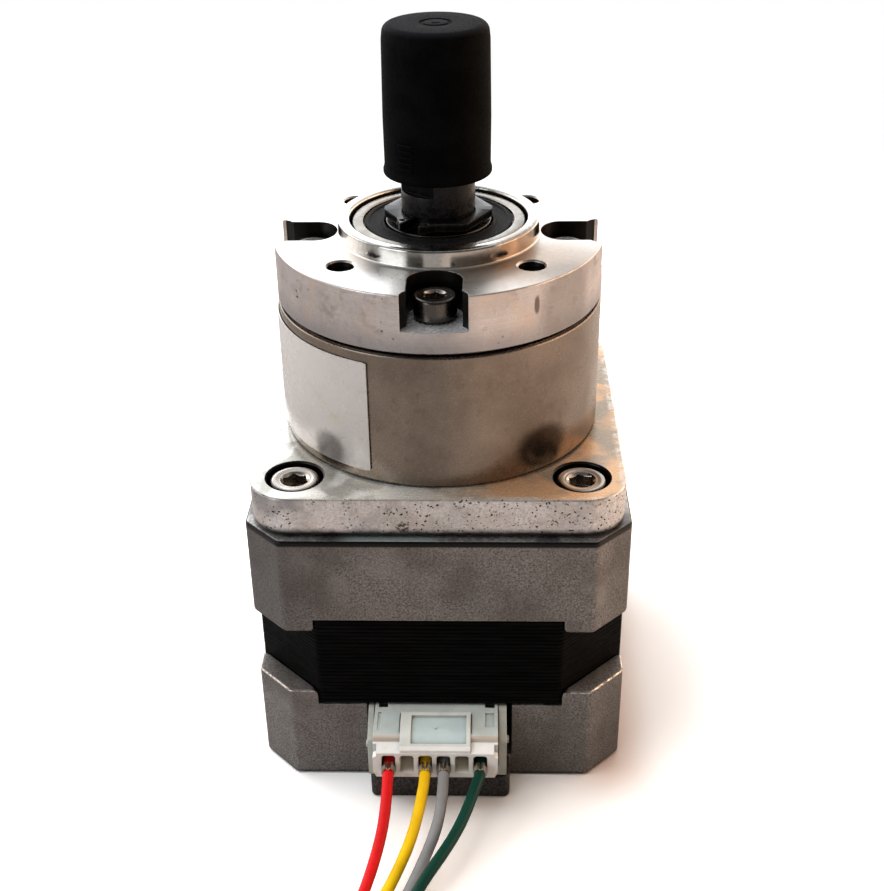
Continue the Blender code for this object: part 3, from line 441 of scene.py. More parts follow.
class Shader(Graph):
    """A procedural material; its texture space is the object's, in millimetres.

    paint() and cloud() lay colours over the starting colour and surface() hands the
    result to the Principled shader.
    """

    def __init__(self, name, colour, rough, metal=0.0, specular=None):
        self.material = bpy.data.materials.new(name)
        self.material.use_nodes = True
        super().__init__(self.material.node_tree)
        self.colour = colour
        self.output = self.node("OutputMaterial", {})
        self.principled = self.node("BsdfPrincipled", {"Roughness": rough, "Metallic": metal})
        self.bsdf = Value(self, self.principled.outputs[0])
        self.put(self.output.inputs["Surface"], self.bsdf)
        self.place = self.scaled(self.add("TexCoord", {}, "Object"), 1000.0)
        if specular is not None:
            self.set("Specular IOR Level", specular)

    def set(self, name, value):
        self.put(self.principled.inputs[name], value)

    def vector(self, operation, a, b):
        output = "Value" if operation in ("DOT_PRODUCT", "LENGTH") else "Vector"
        inputs = {0: a} if b is None else {0: a, 1: b}
        return self.add("VectorMath", inputs, output, operation=operation)

    def scaled(self, a, factor):
        return self.add("VectorMath", {0: a, "Scale": factor}, "Vector", operation="SCALE")

    def axes(self):
        return self.xyz(self.place)

    def radius(self):
        """Distance from the z axis."""
        x, y, _ = self.axes()
        return (x * x + y * y).math("SQRT")

    def noise(self, scale, detail=2.0, rough=0.55, warp=0.0, stretch=None, at=None):
        if stretch:
            at = self.vector("MULTIPLY", self.place, stretch)
        return self.add("TexNoise", {"Vector": at or self.place, "Scale": scale,
                                     "Detail": detail, "Roughness": rough, "Distortion": warp})

    def grain(self, scale, warp=0.0):
        return self.noise(scale, detail=4.0, rough=0.6, warp=warp)

    def cells(self, scale, at=None):
        return self.add("TexVoronoi", {"Vector": at or self.place, "Scale": scale})

    def specks(self, scale, size, patch_scale, patch):
        """Small dots that only show in patches; size and patch are ramp ranges."""
        dots = self.cells(scale).fall(over=size)
        return dots * self.noise(patch_scale).rise(over=patch)

    def rings(self, z, radial, axial, rough):
        """Turning marks: noise over the radius and height alone."""
        at = self.add("CombineXYZ", {0: self.radius() * radial, 2: z * axial})
        return self.noise(scale=1.0, rough=rough, at=at)

    def distance(self, offset, scale):
        return self.vector("LENGTH", self.vector("MULTIPLY", offset, scale), None)

    def spot(self, centre, size, ragged=0.0):
        """1 inside an ellipsoid with half axes size, fading out at its skin."""
        offset = self.vector("SUBTRACT", self.place, centre)
        reach = self.distance(offset, tuple(1.0 / c for c in size))
        if ragged:
            ripple = self.noise(scale=2.2, detail=3.0, rough=0.6, warp=0.4)
            reach = reach + (ripple - 0.5) * ragged
        return reach.fall(over=(0.55, 1.05))

    def rounded(self, radius):
        """Normal with rounded edges."""
        return self.add("Bevel", {"Radius": radius * MM}, samples=4)

    def edges(self, radius, over=(0.999, 0.93)):
        """(mask of the edges, rounded normal)."""
        normal = self.rounded(radius)
        flat = self.add("NewGeometry", {}, "True Normal")
        likeness = self.vector("DOT_PRODUCT", normal, flat)
        return likeness.ramp(over, kind="LINEAR"), normal

    def paint(self, mask, colour):
        self.colour = self.mix(mask, self.colour, colour)

    def cloud(self, colour, over, top=1.0, **noise):
        """Paint colour where a noise rises through the range over."""
        self.paint(self.noise(**noise).rise(over, top), colour)

    def surface(self, rough=None, height=None, depth=0.0, strength=0.5, normal=None):
        """Set colour, roughness and a bump of the given depth; gives the material."""
        self.set("Base Color", self.colour)
        if rough is not None:
            self.set("Roughness", rough)
        if height is not None:
            inputs = {"Strength": strength, "Distance": depth * MM, "Height": height}
            if normal is not None:
                inputs["Normal"] = normal
            self.set("Normal", self.add("Bump", inputs))
        return self.material


def tone(colour, factor, lift=0.0):
    return tuple(min(1.0, c * factor + lift) for c in colour)


# --------------------------------------------------------------------- materials
def cast_skin():
    s = Shader("cast_aluminium_skin", (0.092, 0.084, 0.080), rough=0.55, metal=0.75)
    grain = s.noise(scale=4.4, detail=5.0, rough=0.7)
    s.paint(grain.rise(over=(0.30, 0.72)), (0.405, 0.375, 0.36))
    s.cloud((0.258, 0.238, 0.227), over=(0.36, 0.68), top=0.4, scale=1.1, detail=4.0, rough=0.6)
    s.cloud((0.122, 0.106, 0.096), over=(0.42, 0.64), top=0.55, scale=0.11, detail=3.0)
    s.cloud((0.36, 0.34, 0.33), over=(0.55, 0.72), top=0.4, scale=0.16, rough=0.5, warp=0.5)
    glints = s.specks(scale=3.1, size=(0.03, 0.10), patch_scale=0.9, patch=(0.50, 0.62))
    s.paint(glints * 0.55, (0.62, 0.60, 0.57))
    pits = s.specks(scale=2.1, size=(0.03, 0.17), patch_scale=0.6, patch=(0.48, 0.62))
    s.paint(pits, (0.02, 0.018, 0.017))
    edge, normal = s.edges(radius=0.22, over=(0.998, 0.90))
    wear = edge * s.noise(scale=0.9, detail=3.0).rise(over=(0.36, 0.60))
    s.paint(wear * 0.65, (0.50, 0.46, 0.42))
    # painted shade: darker towards both sides
    x, y, z = s.axes()
    sides = (x.fall(over=(-21.0, -5.0), top=0.55) * z.rise(over=(12.0, 22.0))
             + x.rise(over=(17.5, 20.0), top=0.25))
    s.paint(sides, (0.075, 0.070, 0.068))
    # dark band round the top of the front cap
    band = (z.rise(over=(FRONT_TOP - 0.80, FRONT_TOP - 0.52))
            * z.fall(over=(FRONT_TOP - 0.06, FRONT_TOP + 0.02)))
    s.paint(band * 0.97, (0.006, 0.006, 0.007))
    # painted contact shadow along the bottom edge and painted shade on the shelf under the
    # connector
    foot = (z + s.noise(scale=0.8, detail=3.0) * 0.5).fall(over=(0.40, 0.95), top=0.97)
    s.paint(foot, (0.008, 0.0075, 0.0075))
    shelf = y.fall(over=(-HALF - 0.25, -HALF - 0.05), top=0.88) * z.fall(over=(3.6, 4.2))
    s.paint(shelf, s.mix(grain.rise(over=(0.35, 0.66)),
                         (0.014, 0.0135, 0.013), (0.085, 0.08, 0.078)))
    return s.surface(rough=grain.ramp(to=(0.60, 0.44)) - wear * 0.15 - band * 0.22,
                     height=grain * 0.7 + s.noise(scale=7.0, rough=0.5) * 0.35,
                     depth=0.045, strength=0.7, normal=normal)


def rubbed_edge():
    s = Shader("rubbed_casting_edge", (0.16, 0.14, 0.125), rough=0.3, metal=1.0)
    grain = s.noise(scale=1.7, detail=4.0, rough=0.65)
    s.paint(grain.rise(over=(0.34, 0.62)), (0.86, 0.80, 0.74))
    return s.surface(rough=grain.ramp(to=(0.5, 0.24)),
                     height=s.noise(scale=4.0, detail=3.0), depth=0.03, strength=0.6)


def cut_casting():
    """Cut faces of the castings: ledges and seats."""
    s = Shader("cut_aluminium", (0.34, 0.33, 0.325), rough=0.3, metal=0.8)
    grain = s.grain(scale=2.2)
    lines = s.noise(scale=1.0, rough=0.5, stretch=(0.35, 7.0, 1.0))
    s.paint(grain.rise(over=(0.35, 0.7)), (0.66, 0.66, 0.66))
    s.cloud((0.10, 0.10, 0.105), over=(0.44, 0.60), top=0.75, scale=0.22)
    x, y, _ = s.axes()
    # painted cyan reflection along the front of the ledges
    reflection_streak = x.rise(over=(-11.5, -8.5)) * x.fall(over=(-1.5, 0.8))
    s.paint(reflection_streak * y.rise(over=(-19.5, -20.0)), (0.72, 0.86, 0.87))
    return s.surface(rough=lines.ramp(to=(0.26, 0.44)), height=lines + grain * 0.4,
                     depth=0.012, strength=0.6, normal=s.rounded(radius=0.2))


def plate_casting():
    """Die-cast skin of the adapter plate: pale, with black pores."""
    s = Shader("plate_casting", (0.66, 0.62, 0.615), rough=0.42, metal=0.85)
    grain = s.noise(scale=3.0, detail=5.0, rough=0.66)
    x, _, z = s.axes()
    s.paint(grain.rise(over=(0.30, 0.72)), (0.93, 0.89, 0.885))
    s.cloud((0.52, 0.48, 0.46), over=(0.46, 0.66), top=0.5, scale=0.45, detail=4.0, rough=0.62)
    s.paint(s.noise(scale=0.13, detail=3.0, rough=0.6).rise(over=(0.40, 0.60))
            * x.ramp(over=(-19.0, 2.0), to=(0.95, 0.25)), (0.33, 0.32, 0.33))
    s.cloud((0.63, 0.55, 0.50), over=(0.54, 0.70), top=0.5, scale=0.28, rough=0.5, warp=0.4)
    # pores: warped cells that only open in patches, more of them towards +x
    drift = s.add("TexNoise", {"Vector": s.place, "Scale": 1.3, "Detail": 2.0}, 1)
    warped = s.vector("ADD", s.place, s.vector("MULTIPLY", drift, (0.9, 0.9, 0.5)))
    lean = x.ramp(over=(-14.0, 8.0), to=(-0.03, 0.09), kind="LINEAR")
    patch = (s.noise(scale=0.30) + lean).rise(over=(0.43, 0.54))
    holes = s.cells(scale=1.9, at=warped).fall(over=(0.15, 0.27)) * patch
    fine_patch = s.noise(scale=0.35, rough=0.6, warp=0.4) + lean
    fine = s.cells(scale=3.8, at=warped).fall(over=(0.14, 0.25)) * fine_patch.rise(
        over=(0.46, 0.58))
    cracks = s.noise(scale=0.85, detail=3.0, rough=0.7, warp=0.6).line(width=0.014)
    cracks = cracks * (s.noise(scale=0.5).rise(over=(0.54, 0.62)) * patch)
    pores = holes.math("MAXIMUM", fine * 0.85).math("MAXIMUM", cracks * 0.9)
    blob = s.spot((-3.6, -PLATE_HALF, PLATE_LOW + 1.2), size=(0.95, 1.0, 0.68), ragged=1.3)
    blob = blob * s.noise(scale=2.6, detail=3.0, rough=0.6, warp=0.5).rise(over=(0.42, 0.52))
    pores = pores.math("MAXIMUM", blob * 0.85)
    s.paint(pores, (0.012, 0.011, 0.011))
    # painted shade: darker along the rounded bottom edge
    low = (z + s.noise(scale=0.9, detail=3.0) * 0.6).fall(
        over=(PLATE_LOW + 0.75, PLATE_LOW + 1.55))
    s.paint(low * 0.95, (0.014, 0.014, 0.016))
    edge, normal = s.edges(radius=0.10)
    s.paint(edge * s.noise(scale=1.2).rise(over=(0.40, 0.62), top=0.6), (0.8, 0.75, 0.71))
    return s.surface(rough=grain.ramp(to=(0.46, 0.32)), height=grain * 0.4 - pores * 1.5,
                     depth=0.05, strength=0.7, normal=normal)


def flange_marks(s, z, smear):
    """Clouding, rubbed marks and painted light and shade on the output flange: a darker foot and a
    shaded patch on the side, a paler top face with a warm painted reflection.
    """
    s.cloud((0.66, 0.53, 0.44), over=(0.50, 0.66), top=0.5, scale=0.16, rough=0.5, warp=0.6)
    s.cloud((0.60, 0.555, 0.60), over=(0.54, 0.68), top=0.45, scale=0.21, rough=0.5, warp=0.3)
    # painted shade: darker towards the foot of the side
    s.paint((z + smear * 1.6).fall(over=(54.4, 57.4), top=0.72), (0.27, 0.265, 0.28))
    mark = s.spot((*polar(RING_R, -55), FLANGE_TOP - 2.3), size=(0.42, 0.42, 1.25), ragged=0.5)
    s.paint(mark * 0.85, (0.12, 0.085, 0.062))
    # painted light: the top face paler
    face = z.rise(over=(FLANGE_TOP - 0.12, FLANGE_TOP - 0.02))
    s.paint(face * 0.72, (0.90, 0.90, 0.885))
    # painted warm reflection on the top face towards -40 degrees
    offset = s.vector("SUBTRACT", s.place, (*polar(14.5, -40), FLANGE_TOP))
    warm = s.distance(offset, (0.085, 0.10, 0.5)).fall(over=(0.2, 1.1), top=0.86)
    s.paint(warm * face, (0.36, 0.27, 0.20))
    # painted shade on the side towards -41 degrees
    shade = s.spot((*polar(18.0, -41), FLANGE_TOP - 3.5), size=(4.6, 4.6, 6.5), ragged=0.3)
    s.paint(shade * 0.62, (0.25, 0.225, 0.21))


def machined(name, tint, dark, rough, stains, flange=False, metal=1.0):
    s = Shader(name, tint, rough=0.3, metal=metal)
    z = s.axes()[2]
    rings = s.rings(z, radial=9.0, axial=7.0, rough=0.6)
    fine = s.noise(scale=2.6, detail=5.0, rough=0.65)
    broad = s.noise(scale=0.13, detail=3.0, rough=0.6)
    s.paint(broad.rise(over=(0.36, 0.68)), dark)
    s.paint(fine.rise(over=(0.40, 0.75), top=0.35), tone(tint, 1.25))
    if flange:
        s.paint(rings.rise(over=(0.36, 0.64), top=0.28), (0.36, 0.335, 0.33))
    smear = s.noise(scale=0.55, detail=4.0, rough=0.62, warp=0.8)
    s.paint(smear.rise(over=(0.52, 0.70)) * stains, (0.28, 0.24, 0.22))
    specks = s.specks(scale=0.75, size=(0.05, 0.15), patch_scale=0.31, patch=(0.50, 0.60))
    s.paint(specks * 0.9, (0.025, 0.021, 0.02))
    if flange:
        flange_marks(s, z, smear)
    edge, normal = s.edges(radius=0.14)
    s.paint(edge * s.noise(scale=1.4).ramp(over=(0.30, 0.55), to=(0.2, 0.8)),
            (0.86, 0.83, 0.82) if flange else tone(tint, 2.2))
    # fine scratches in two directions
    across = s.noise(scale=0.9, detail=1.0, warp=0.5, stretch=(0.6, 5.0, 2.2)).line(width=0.012)
    along = s.noise(scale=0.7, detail=1.0, warp=0.7, stretch=(4.2, 0.7, 1.6)).line(width=0.010)
    scratches = across.math("MAXIMUM", along) * s.noise(scale=0.4).rise(over=(0.48, 0.66))
    ring_height = 0.55 if flange else 0.1
    return s.surface(rough=(fine * 0.6 + broad * 0.4).ramp(over=(0.35, 0.65), to=rough)
                     + scratches * 0.12,
                     height=rings * ring_height + fine * 0.35 - scratches * 0.35,
                     depth=0.010, strength=0.55, normal=normal)


def plate_face():
    """Machined face, pale towards -x, with a painted amber reflection towards +x."""
    s = Shader("machined_plate_face", (0.92, 0.93, 0.90), rough=0.24, metal=0.62)
    fine = s.grain(scale=2.2)
    broad = s.noise(scale=0.12, detail=3.0, rough=0.6)
    lay = s.noise(scale=1.0, rough=0.5, stretch=(0.5, 9.0, 1.0))
    x, y, _ = s.axes()
    # painted amber reflection towards +x
    s.paint((x + broad * 6.0).rise(over=(-1.0, 11.0)), (0.84, 0.53, 0.31))
    s.cloud((0.34, 0.33, 0.29), over=(0.44, 0.60), top=0.75, scale=0.20, rough=0.5, warp=0.5)
    s.paint(fine.rise(over=(0.50, 0.8), top=0.15), (0.9, 0.86, 0.82))
    specks = s.specks(scale=0.9, size=(0.04, 0.10), patch_scale=0.31, patch=(0.52, 0.62))
    s.paint(specks * 0.9, (0.03, 0.026, 0.024))
    rim = x.math("ABSOLUTE").math("MAXIMUM", y.math("ABSOLUTE"))
    s.paint(rim.rise(over=(PLATE_HALF - 0.9, PLATE_HALF - 0.5))
            * s.noise(scale=1.2, detail=3.0).ramp(over=(0.42, 0.60), to=(0.1, 0.7)),
            (0.9, 0.86, 0.80))
    return s.surface(rough=(fine * 0.5 + lay * 0.5).ramp(to=(0.20, 0.30)),
                     height=s.noise(scale=0.5, detail=1.0)
                     + s.noise(scale=1.1, detail=1.0) * 0.3,
                     depth=0.0025, strength=0.4)


def nickel_plate():
    s = Shader("nickel_plated_steel", (0.255, 0.207, 0.170), rough=0.34, metal=1.0)
    fine = s.noise(scale=3.2, detail=5.0, rough=0.66)
    broad = s.noise(scale=0.11, detail=3.0, rough=0.58)
    middle = s.grain(scale=0.8, warp=0.5)
    s.paint(broad.rise(over=(0.36, 0.66)), (0.180, 0.143, 0.116))
    s.paint(fine.rise(over=(0.40, 0.78), top=0.32), (0.33, 0.275, 0.23))
    s.paint(middle.rise(over=(0.54, 0.72), top=0.30), (0.10, 0.078, 0.062))
    specks = s.specks(scale=1.4, size=(0.03, 0.085), patch_scale=0.4, patch=(0.44, 0.58))
    s.paint(specks * 0.8, (0.58, 0.49, 0.40))
    hairs = s.noise(scale=0.6, warp=0.8, stretch=(1.4, 1.4, 2.4)).line(width=0.006)
    s.paint(hairs * s.noise(scale=0.3).rise(over=(0.50, 0.64), top=0.5), (0.46, 0.38, 0.31))
    # painted dark reflections of the counterbores beside the ring
    for degrees in (-51, -130):
        shade = s.spot((*polar(RING_R, degrees), PLATE_TOP + 3.0), size=(4.0, 4.0, 3.1),
                       ragged=0.2)
        s.paint(shade * 0.86, (0.020, 0.015, 0.012))
    s.paint(s.axes()[2].fall(over=(PLATE_TOP + 0.16, PLATE_TOP + 0.40), top=0.92),
            (0.012, 0.010, 0.009))
    edge, normal = s.edges(radius=0.16)
    s.paint(edge * 0.5, (0.55, 0.5, 0.44))
    return s.surface(rough=(fine * 0.5 + broad * 0.5).ramp(over=(0.36, 0.64), to=(0.25, 0.33)),
                     height=fine + middle * 0.6, depth=0.006, normal=normal)


def lamination():
    s = Shader("lacquered_laminations", (0.0008, 0.0008, 0.0009), rough=0.45, specular=0.04)
    grain = s.grain(scale=1.8)
    line = s.noise(scale=1.0, rough=0.5, stretch=(0.22, 0.22, 2.0))
    s.paint(line.rise(over=(0.35, 0.7)), (0.0035, 0.0034, 0.0036))
    s.paint(grain.rise(over=(0.62, 0.80), top=0.5), (0.012, 0.0115, 0.011))
    return s.surface(rough=grain.ramp(to=(0.42, 0.60)), height=grain * 0.5 + line, depth=0.012)


def metal(name, colour, rough, scale=3.0, smudge=0.35, depth=0.006):
    s = Shader(name, colour, rough=0.2, metal=1.0)
    fine = s.grain(scale=scale)
    broad = s.noise(scale=0.35, detail=3.0, rough=0.6, warp=0.4)
    s.paint(broad.rise(over=(0.42, 0.68)) * smudge, tone(colour, 0.55))
    s.paint(fine.rise(over=(0.5, 0.8), top=0.25), tone(colour, 1.35, lift=0.02))
    edge, normal = s.edges(radius=0.12)
    s.paint(edge * 0.45, tone(colour, 1.5, lift=0.08))
    return s.surface(rough=(fine * 0.5 + broad * 0.5).ramp(over=(0.38, 0.62), to=rough),
                     height=fine, depth=depth, normal=normal)


def pilot_ring():
    s = Shader("polished_pilot_ring", (0.44, 0.435, 0.42), rough=0.14, metal=1.0)
    z = s.axes()[2]
    rings = s.rings(z, radial=11.0, axial=9.0, rough=0.5)
    fine = s.grain(scale=2.0)
    s.paint(fine.rise(over=(0.35, 0.7)), (0.58, 0.575, 0.555))
    s.cloud((0.38, 0.35, 0.30), over=(0.52, 0.7), top=0.5, scale=0.5, detail=3.0)
    root = (z + fine * 0.25).fall(over=(FLANGE_TOP + 0.12, FLANGE_TOP + 0.42), top=0.75)
    s.paint(root, (0.30, 0.245, 0.165))
    height = FLANGE_TOP + 0.7
    # painted reflections: a brown one towards -38 degrees and a dark one towards the front
    brown_reflection = s.spot((*polar(PILOT_R, -38), height), size=(4.6, 4.6, 2.2), ragged=0.5)
    s.paint(brown_reflection * 0.8, (0.235, 0.165, 0.115))
    dark = s.spot((*polar(PILOT_R, -101), height), size=(1.1, 3.0, 2.2), ragged=0.4)
    s.paint(dark * 0.7, (0.15, 0.14, 0.12))
    edge, normal = s.edges(radius=0.14)
    s.paint(edge * 0.5, (0.9, 0.88, 0.85))
    return s.surface(rough=fine.ramp(to=(0.11, 0.20)), height=rings, depth=0.005,
                     normal=normal)


def cap_rubber():
    s = Shader("cap_rubber", (0.0011, 0.0011, 0.00121), rough=0.55, specular=0.03)
    grain = s.grain(scale=4.0)
    broad = s.noise(scale=0.3, detail=3.0)
    s.paint(broad.rise(over=(0.4, 0.66)), (0.00264, 0.00264, 0.00297))
    # painted light: a little paler where it faces up
    facing = s.add("VectorTransform", {0: s.add("NewGeometry", {}, "Normal")},
                   vector_type="NORMAL", convert_from="WORLD", convert_to="OBJECT")
    s.paint(s.xyz(facing)[2].rise(over=(0.35, 0.9)), (0.0065, 0.0070, 0.0085))
    s.paint(s.cells(scale=1.9).fall(over=(0.02, 0.06), top=0.35), (0.03, 0.031, 0.034))
    return s.surface(rough=grain.ramp(to=(0.60, 0.80)), height=grain + broad * 0.6,
                     depth=0.02, strength=0.55)


def seal_rubber():
    s = Shader("seal_rubber", (0.0022, 0.0022, 0.0026), rough=0.5, specular=0.10)
    grain = s.noise(scale=5.0, detail=3.0, rough=0.7)
    s.paint(grain.rise(over=(0.45, 0.7)), (0.010, 0.010, 0.0115))
    dust = s.specks(scale=3.6, size=(0.07, 0.17), patch_scale=0.45, patch=(0.52, 0.62))
    s.paint(dust * 0.8, (0.22, 0.22, 0.22))
    return s.surface(rough=grain.ramp(to=(0.5, 0.75)), height=grain, depth=0.05, strength=0.7)


def dark_steel(name, colour, rough, specular):
    s = Shader(name, colour, rough=0.3, metal=0.25, specular=specular)
    grain = s.noise(scale=2.4, detail=4.0, rough=0.65)
    lay = s.noise(scale=1.0, rough=0.5, stretch=(0.8, 0.8, 6.0))
    s.paint(grain.rise(over=(0.40, 0.70)), tone(colour, 2.6))
    s.cloud((0.020, 0.019, 0.019), over=(0.54, 0.72), top=0.5, scale=0.5, detail=3.0)
    edge, normal = s.edges(radius=0.1)
    s.paint(edge * 0.4, (0.12, 0.118, 0.115))
    return s.surface(rough=grain.ramp(to=rough), height=lay * 0.5 + grain * 0.4, depth=0.010,
                     normal=normal)


def nylon(name, colour, warm=(0.56, 0.49, 0.42), stain=0.3, crevice_shade=0.75):
    """Moulded nylon with warm stains and painted shade in its corners."""
    s = Shader(name, colour, rough=0.42)
    grain = s.grain(scale=2.6)
    broad = s.noise(scale=0.35, detail=3.0)
    s.paint(broad.rise(over=(0.36, 0.66)), tone(colour, 1.12))
    s.paint(s.grain(scale=0.8, warp=0.6).rise(over=(0.50, 0.70)) * stain, warm)
    edge, normal = s.edges(radius=0.16)
    s.paint(edge * 0.35, (0.85, 0.86, 0.84))
    # painted shade in corners and crevices, from ambient occlusion
    openness = s.add("AmbientOcclusion", {"Distance": 0.55 * MM}, "AO", samples=4)
    s.paint(openness.fall(over=(0.42, 0.92)) * crevice_shade, (0.21, 0.185, 0.155))
    specks = s.specks(scale=1.5, size=(0.03, 0.06), patch_scale=0.7, patch=(0.54, 0.62))
    s.paint(specks * 0.7, (0.10, 0.09, 0.08))
    s.set("Subsurface Weight", 0.12)
    s.set("Subsurface Radius", (1.0, 1.0, 0.8))
    s.set("Subsurface Scale", 0.0005)
    return s.surface(rough=grain.ramp(to=(0.34, 0.50)), height=grain * 0.6 + broad * 0.5,
                     depth=0.015, normal=normal)


def insulation(name, colour, dark):
    s = Shader(name, colour, rough=0.32, specular=0.16)
    grain = s.grain(scale=1.6)
    s.cloud(tone(colour, 0.82), over=(0.36, 0.66), scale=0.25, detail=3.0, rough=0.5)
    s.paint(grain.rise(over=(0.52, 0.78), top=0.30), dark)
    return s.surface(rough=grain.ramp(to=(0.34, 0.50)),
                     height=s.noise(scale=0.9) + grain * 0.4, depth=0.02, strength=0.4)


def label_film():
    s = Shader("label_film", (0.56, 0.53, 0.515), rough=0.32, metal=0.30, specular=0.5)
    grain = s.noise(scale=3.0, detail=3.0, rough=0.6)
    low, high = LABEL[0].z, LABEL[1].z
    # painted light: paler towards the top
    s.paint(s.axes()[2].rise(over=(low, high)), (0.66, 0.63, 0.62))
    s.cloud((0.75, 0.74, 0.73), over=(0.36, 0.68), top=0.05, scale=1.0, detail=3.0, rough=0.6,
            stretch=(3.0, 3.0, 0.8))
    # a yellow drip with a slanting run beside it, then handling marks
    offset = s.vector("SUBTRACT", s.place, (*polar(18.2, -126), low + 0.42 * (high - low)))
    reach = s.distance(offset, (0.9, 0.6, 1.1)) + s.noise(scale=0.9, detail=3.0) * 1.2
    drip = reach.fall(over=(0.8, 1.7)) * s.noise(
        scale=1.1, detail=3.0, rough=0.6, warp=0.6).rise(over=(0.42, 0.56))
    s.paint(drip * 0.65, (0.46, 0.43, 0.26))
    dx, _, dz = s.xyz(offset)
    run = (dz + dx * 0.95).math("ABSOLUTE").fall(over=(0.03, 0.14))
    run = run * dx.rise(over=(-3.4, -2.6)) * dx.fall(over=(-0.3, 0.2))
    s.paint(run * 0.55, (0.50, 0.46, 0.30))
    s.cloud((0.46, 0.42, 0.385), over=(0.50, 0.72), top=0.30, scale=0.18, detail=3.0)
    # painted dark reflection of the counterbore below the label
    shade = s.spot((*polar(18.2, -130), PLATE_TOP + 2.7), size=(2.7, 2.7, 2.4), ragged=0.2)
    s.paint(shade * 0.72, (0.11, 0.098, 0.09))
    return s.surface(rough=s.noise(scale=0.4).ramp(to=(0.22, 0.30)),
                     height=grain * 0.1 + s.noise(scale=0.35, detail=1.0), depth=0.0010)


def plain(name, colour, rough, metal, scale, depth):
    """Finish of the parts that are shut inside the motor."""
    s = Shader(name, colour, rough=rough, metal=metal)
    grain = s.grain(scale=scale)
    s.paint(grain.rise(over=(0.35, 0.7)), tone(colour, 0.6))
    s.cloud(tone(colour, 1.3), over=(0.45, 0.7), top=0.4, scale=scale * 0.15, detail=3.0,
            rough=0.5)
    return s.surface(rough=grain.ramp(to=(rough - 0.08, rough + 0.08)), height=grain,
                     depth=depth, strength=0.6)


def winding_wire():
    s = Shader("enamelled_copper", (0.28, 0.075, 0.02), rough=0.32, metal=0.9)
    turns = s.add("TexWave", {"Vector": s.place, "Scale": 1.3, "Distortion": 1.2,
                              "Detail": 2.0}, 1, bands_direction="Z")
    s.paint(turns, (0.66, 0.27, 0.10))
    return s.surface(height=turns, depth=0.08, strength=0.8)


CAST, CUT_CAST, RUBBED = cast_skin(), cut_casting(), rubbed_edge()
PLATE_SIDE, PLATE_FACE = plate_casting(), plate_face()
MACHINED = machined("machined_aluminium", tint=(0.68, 0.625, 0.61), dark=(0.50, 0.445, 0.43),
                    rough=(0.26, 0.40), stains=0.5, flange=True)
# near-black copy of the machined finish: painted shade in bores, counterbores, pocket walls and
# threads
BORE_SHADED = machined("machined_bore_shaded", tint=(0.030, 0.028, 0.027), dark=(0.016, 0.015, 0.014),
                rough=(0.34, 0.48), stains=0.0)
# pale bluish copy of the machined finish: painted reflection on the screw seats
POCKET_SHEEN = machined("machined_pocket_sheen", tint=(0.74, 0.75, 0.78), dark=(0.40, 0.41, 0.43),
                  rough=(0.2, 0.32), stains=0.5, metal=0.6)
PILOT = pilot_ring()
NICKEL = nickel_plate()
LAMINATIONS = lamination()
STEEL = metal("ground_steel", (0.50, 0.48, 0.455), rough=(0.10, 0.2))
RACE = metal("bearing_race_steel", (0.27, 0.25, 0.225), rough=(0.22, 0.34))
# dark copy of the race steel: painted shade on the inner race under the retaining ring
INNER_RACE_SHADED = metal("bearing_inner_steel_shaded", (0.06, 0.056, 0.052), rough=(0.22, 0.34))
# dark copy of the screw steel: painted shade on the head sides
SCREW_SIDE_SHADED = metal("screw_head_side_shaded", (0.10, 0.092, 0.085), (0.2, 0.34), scale=3.4, smudge=0.6)
SCREW = metal("nickel_screw_steel", (0.56, 0.53, 0.49), (0.13, 0.26), scale=3.4, smudge=0.6)
SOCKET = metal("screw_socket_steel", (0.33, 0.29, 0.25), (0.18, 0.32), scale=3.4, smudge=0.8)
OXIDE = dark_steel("black_oxide_steel", (0.007, 0.0072, 0.008), (0.22, 0.40), specular=0.22)
SPRING = dark_steel("black_spring_steel", (0.0028, 0.0028, 0.0032), (0.14, 0.26), specular=0.08)
FLAT = dark_steel("shaft_flat_steel", (0.0012, 0.0012, 0.0014), (0.30, 0.44), specular=0.05)
RUBBER = cap_rubber()
SEAL_RUBBER = seal_rubber()
# the plug's nylon in lit and shaded copies, in the order of its material slots: painted light on
# the lip, front and frame, a painted bluish reflection in the window, painted shade on the edge,
# and a paler copy in the cavities
PLUG_BODY, PLUG_WINDOW, PLUG_LIP, PLUG_FRONT, PLUG_EDGE, PLUG_FRAME, PLUG_CAVITY = range(7)
PLUG_NYLON = [
    nylon("moulded_nylon", (0.56, 0.625, 0.61)),
    nylon("moulded_nylon_window", (0.55, 0.66, 0.67), stain=0.1, crevice_shade=0.6),
    nylon("moulded_nylon_lip", (0.90, 0.90, 0.875), stain=0.12, crevice_shade=0.5),
    nylon("moulded_nylon_front", (0.95, 0.89, 0.855), stain=0.15, crevice_shade=0.6),
    nylon("moulded_nylon_edge", (0.60, 0.53, 0.455), stain=0.3, crevice_shade=0.6),
    nylon("moulded_nylon_frame", (0.72, 0.75, 0.72), stain=0.25, crevice_shade=0.7),
    nylon("moulded_nylon_cavity", (0.84, 0.80, 0.72), stain=0.2, crevice_shade=0.55),
]
HEADER_NYLON = nylon("moulded_nylon_header", (0.46, 0.475, 0.43), (0.42, 0.38, 0.31), stain=0.4)
LABEL_FILM = label_film()
TIN = metal("tinned_terminal", (0.46, 0.42, 0.35), (0.12, 0.26), 4.0, smudge=0.95, depth=0.02)
COPPER = metal("bare_copper", (0.62, 0.26, 0.12), (0.2, 0.34), 4.0, smudge=0.4, depth=0.01)
GEAR = plain("gear_steel", (0.36, 0.34, 0.31), rough=0.34, metal=1.0, scale=3.0, depth=0.015)
MAGNET = plain("sintered_magnet", (0.11, 0.11, 0.115), rough=0.5, metal=0.5, scale=5.0,
               depth=0.05)
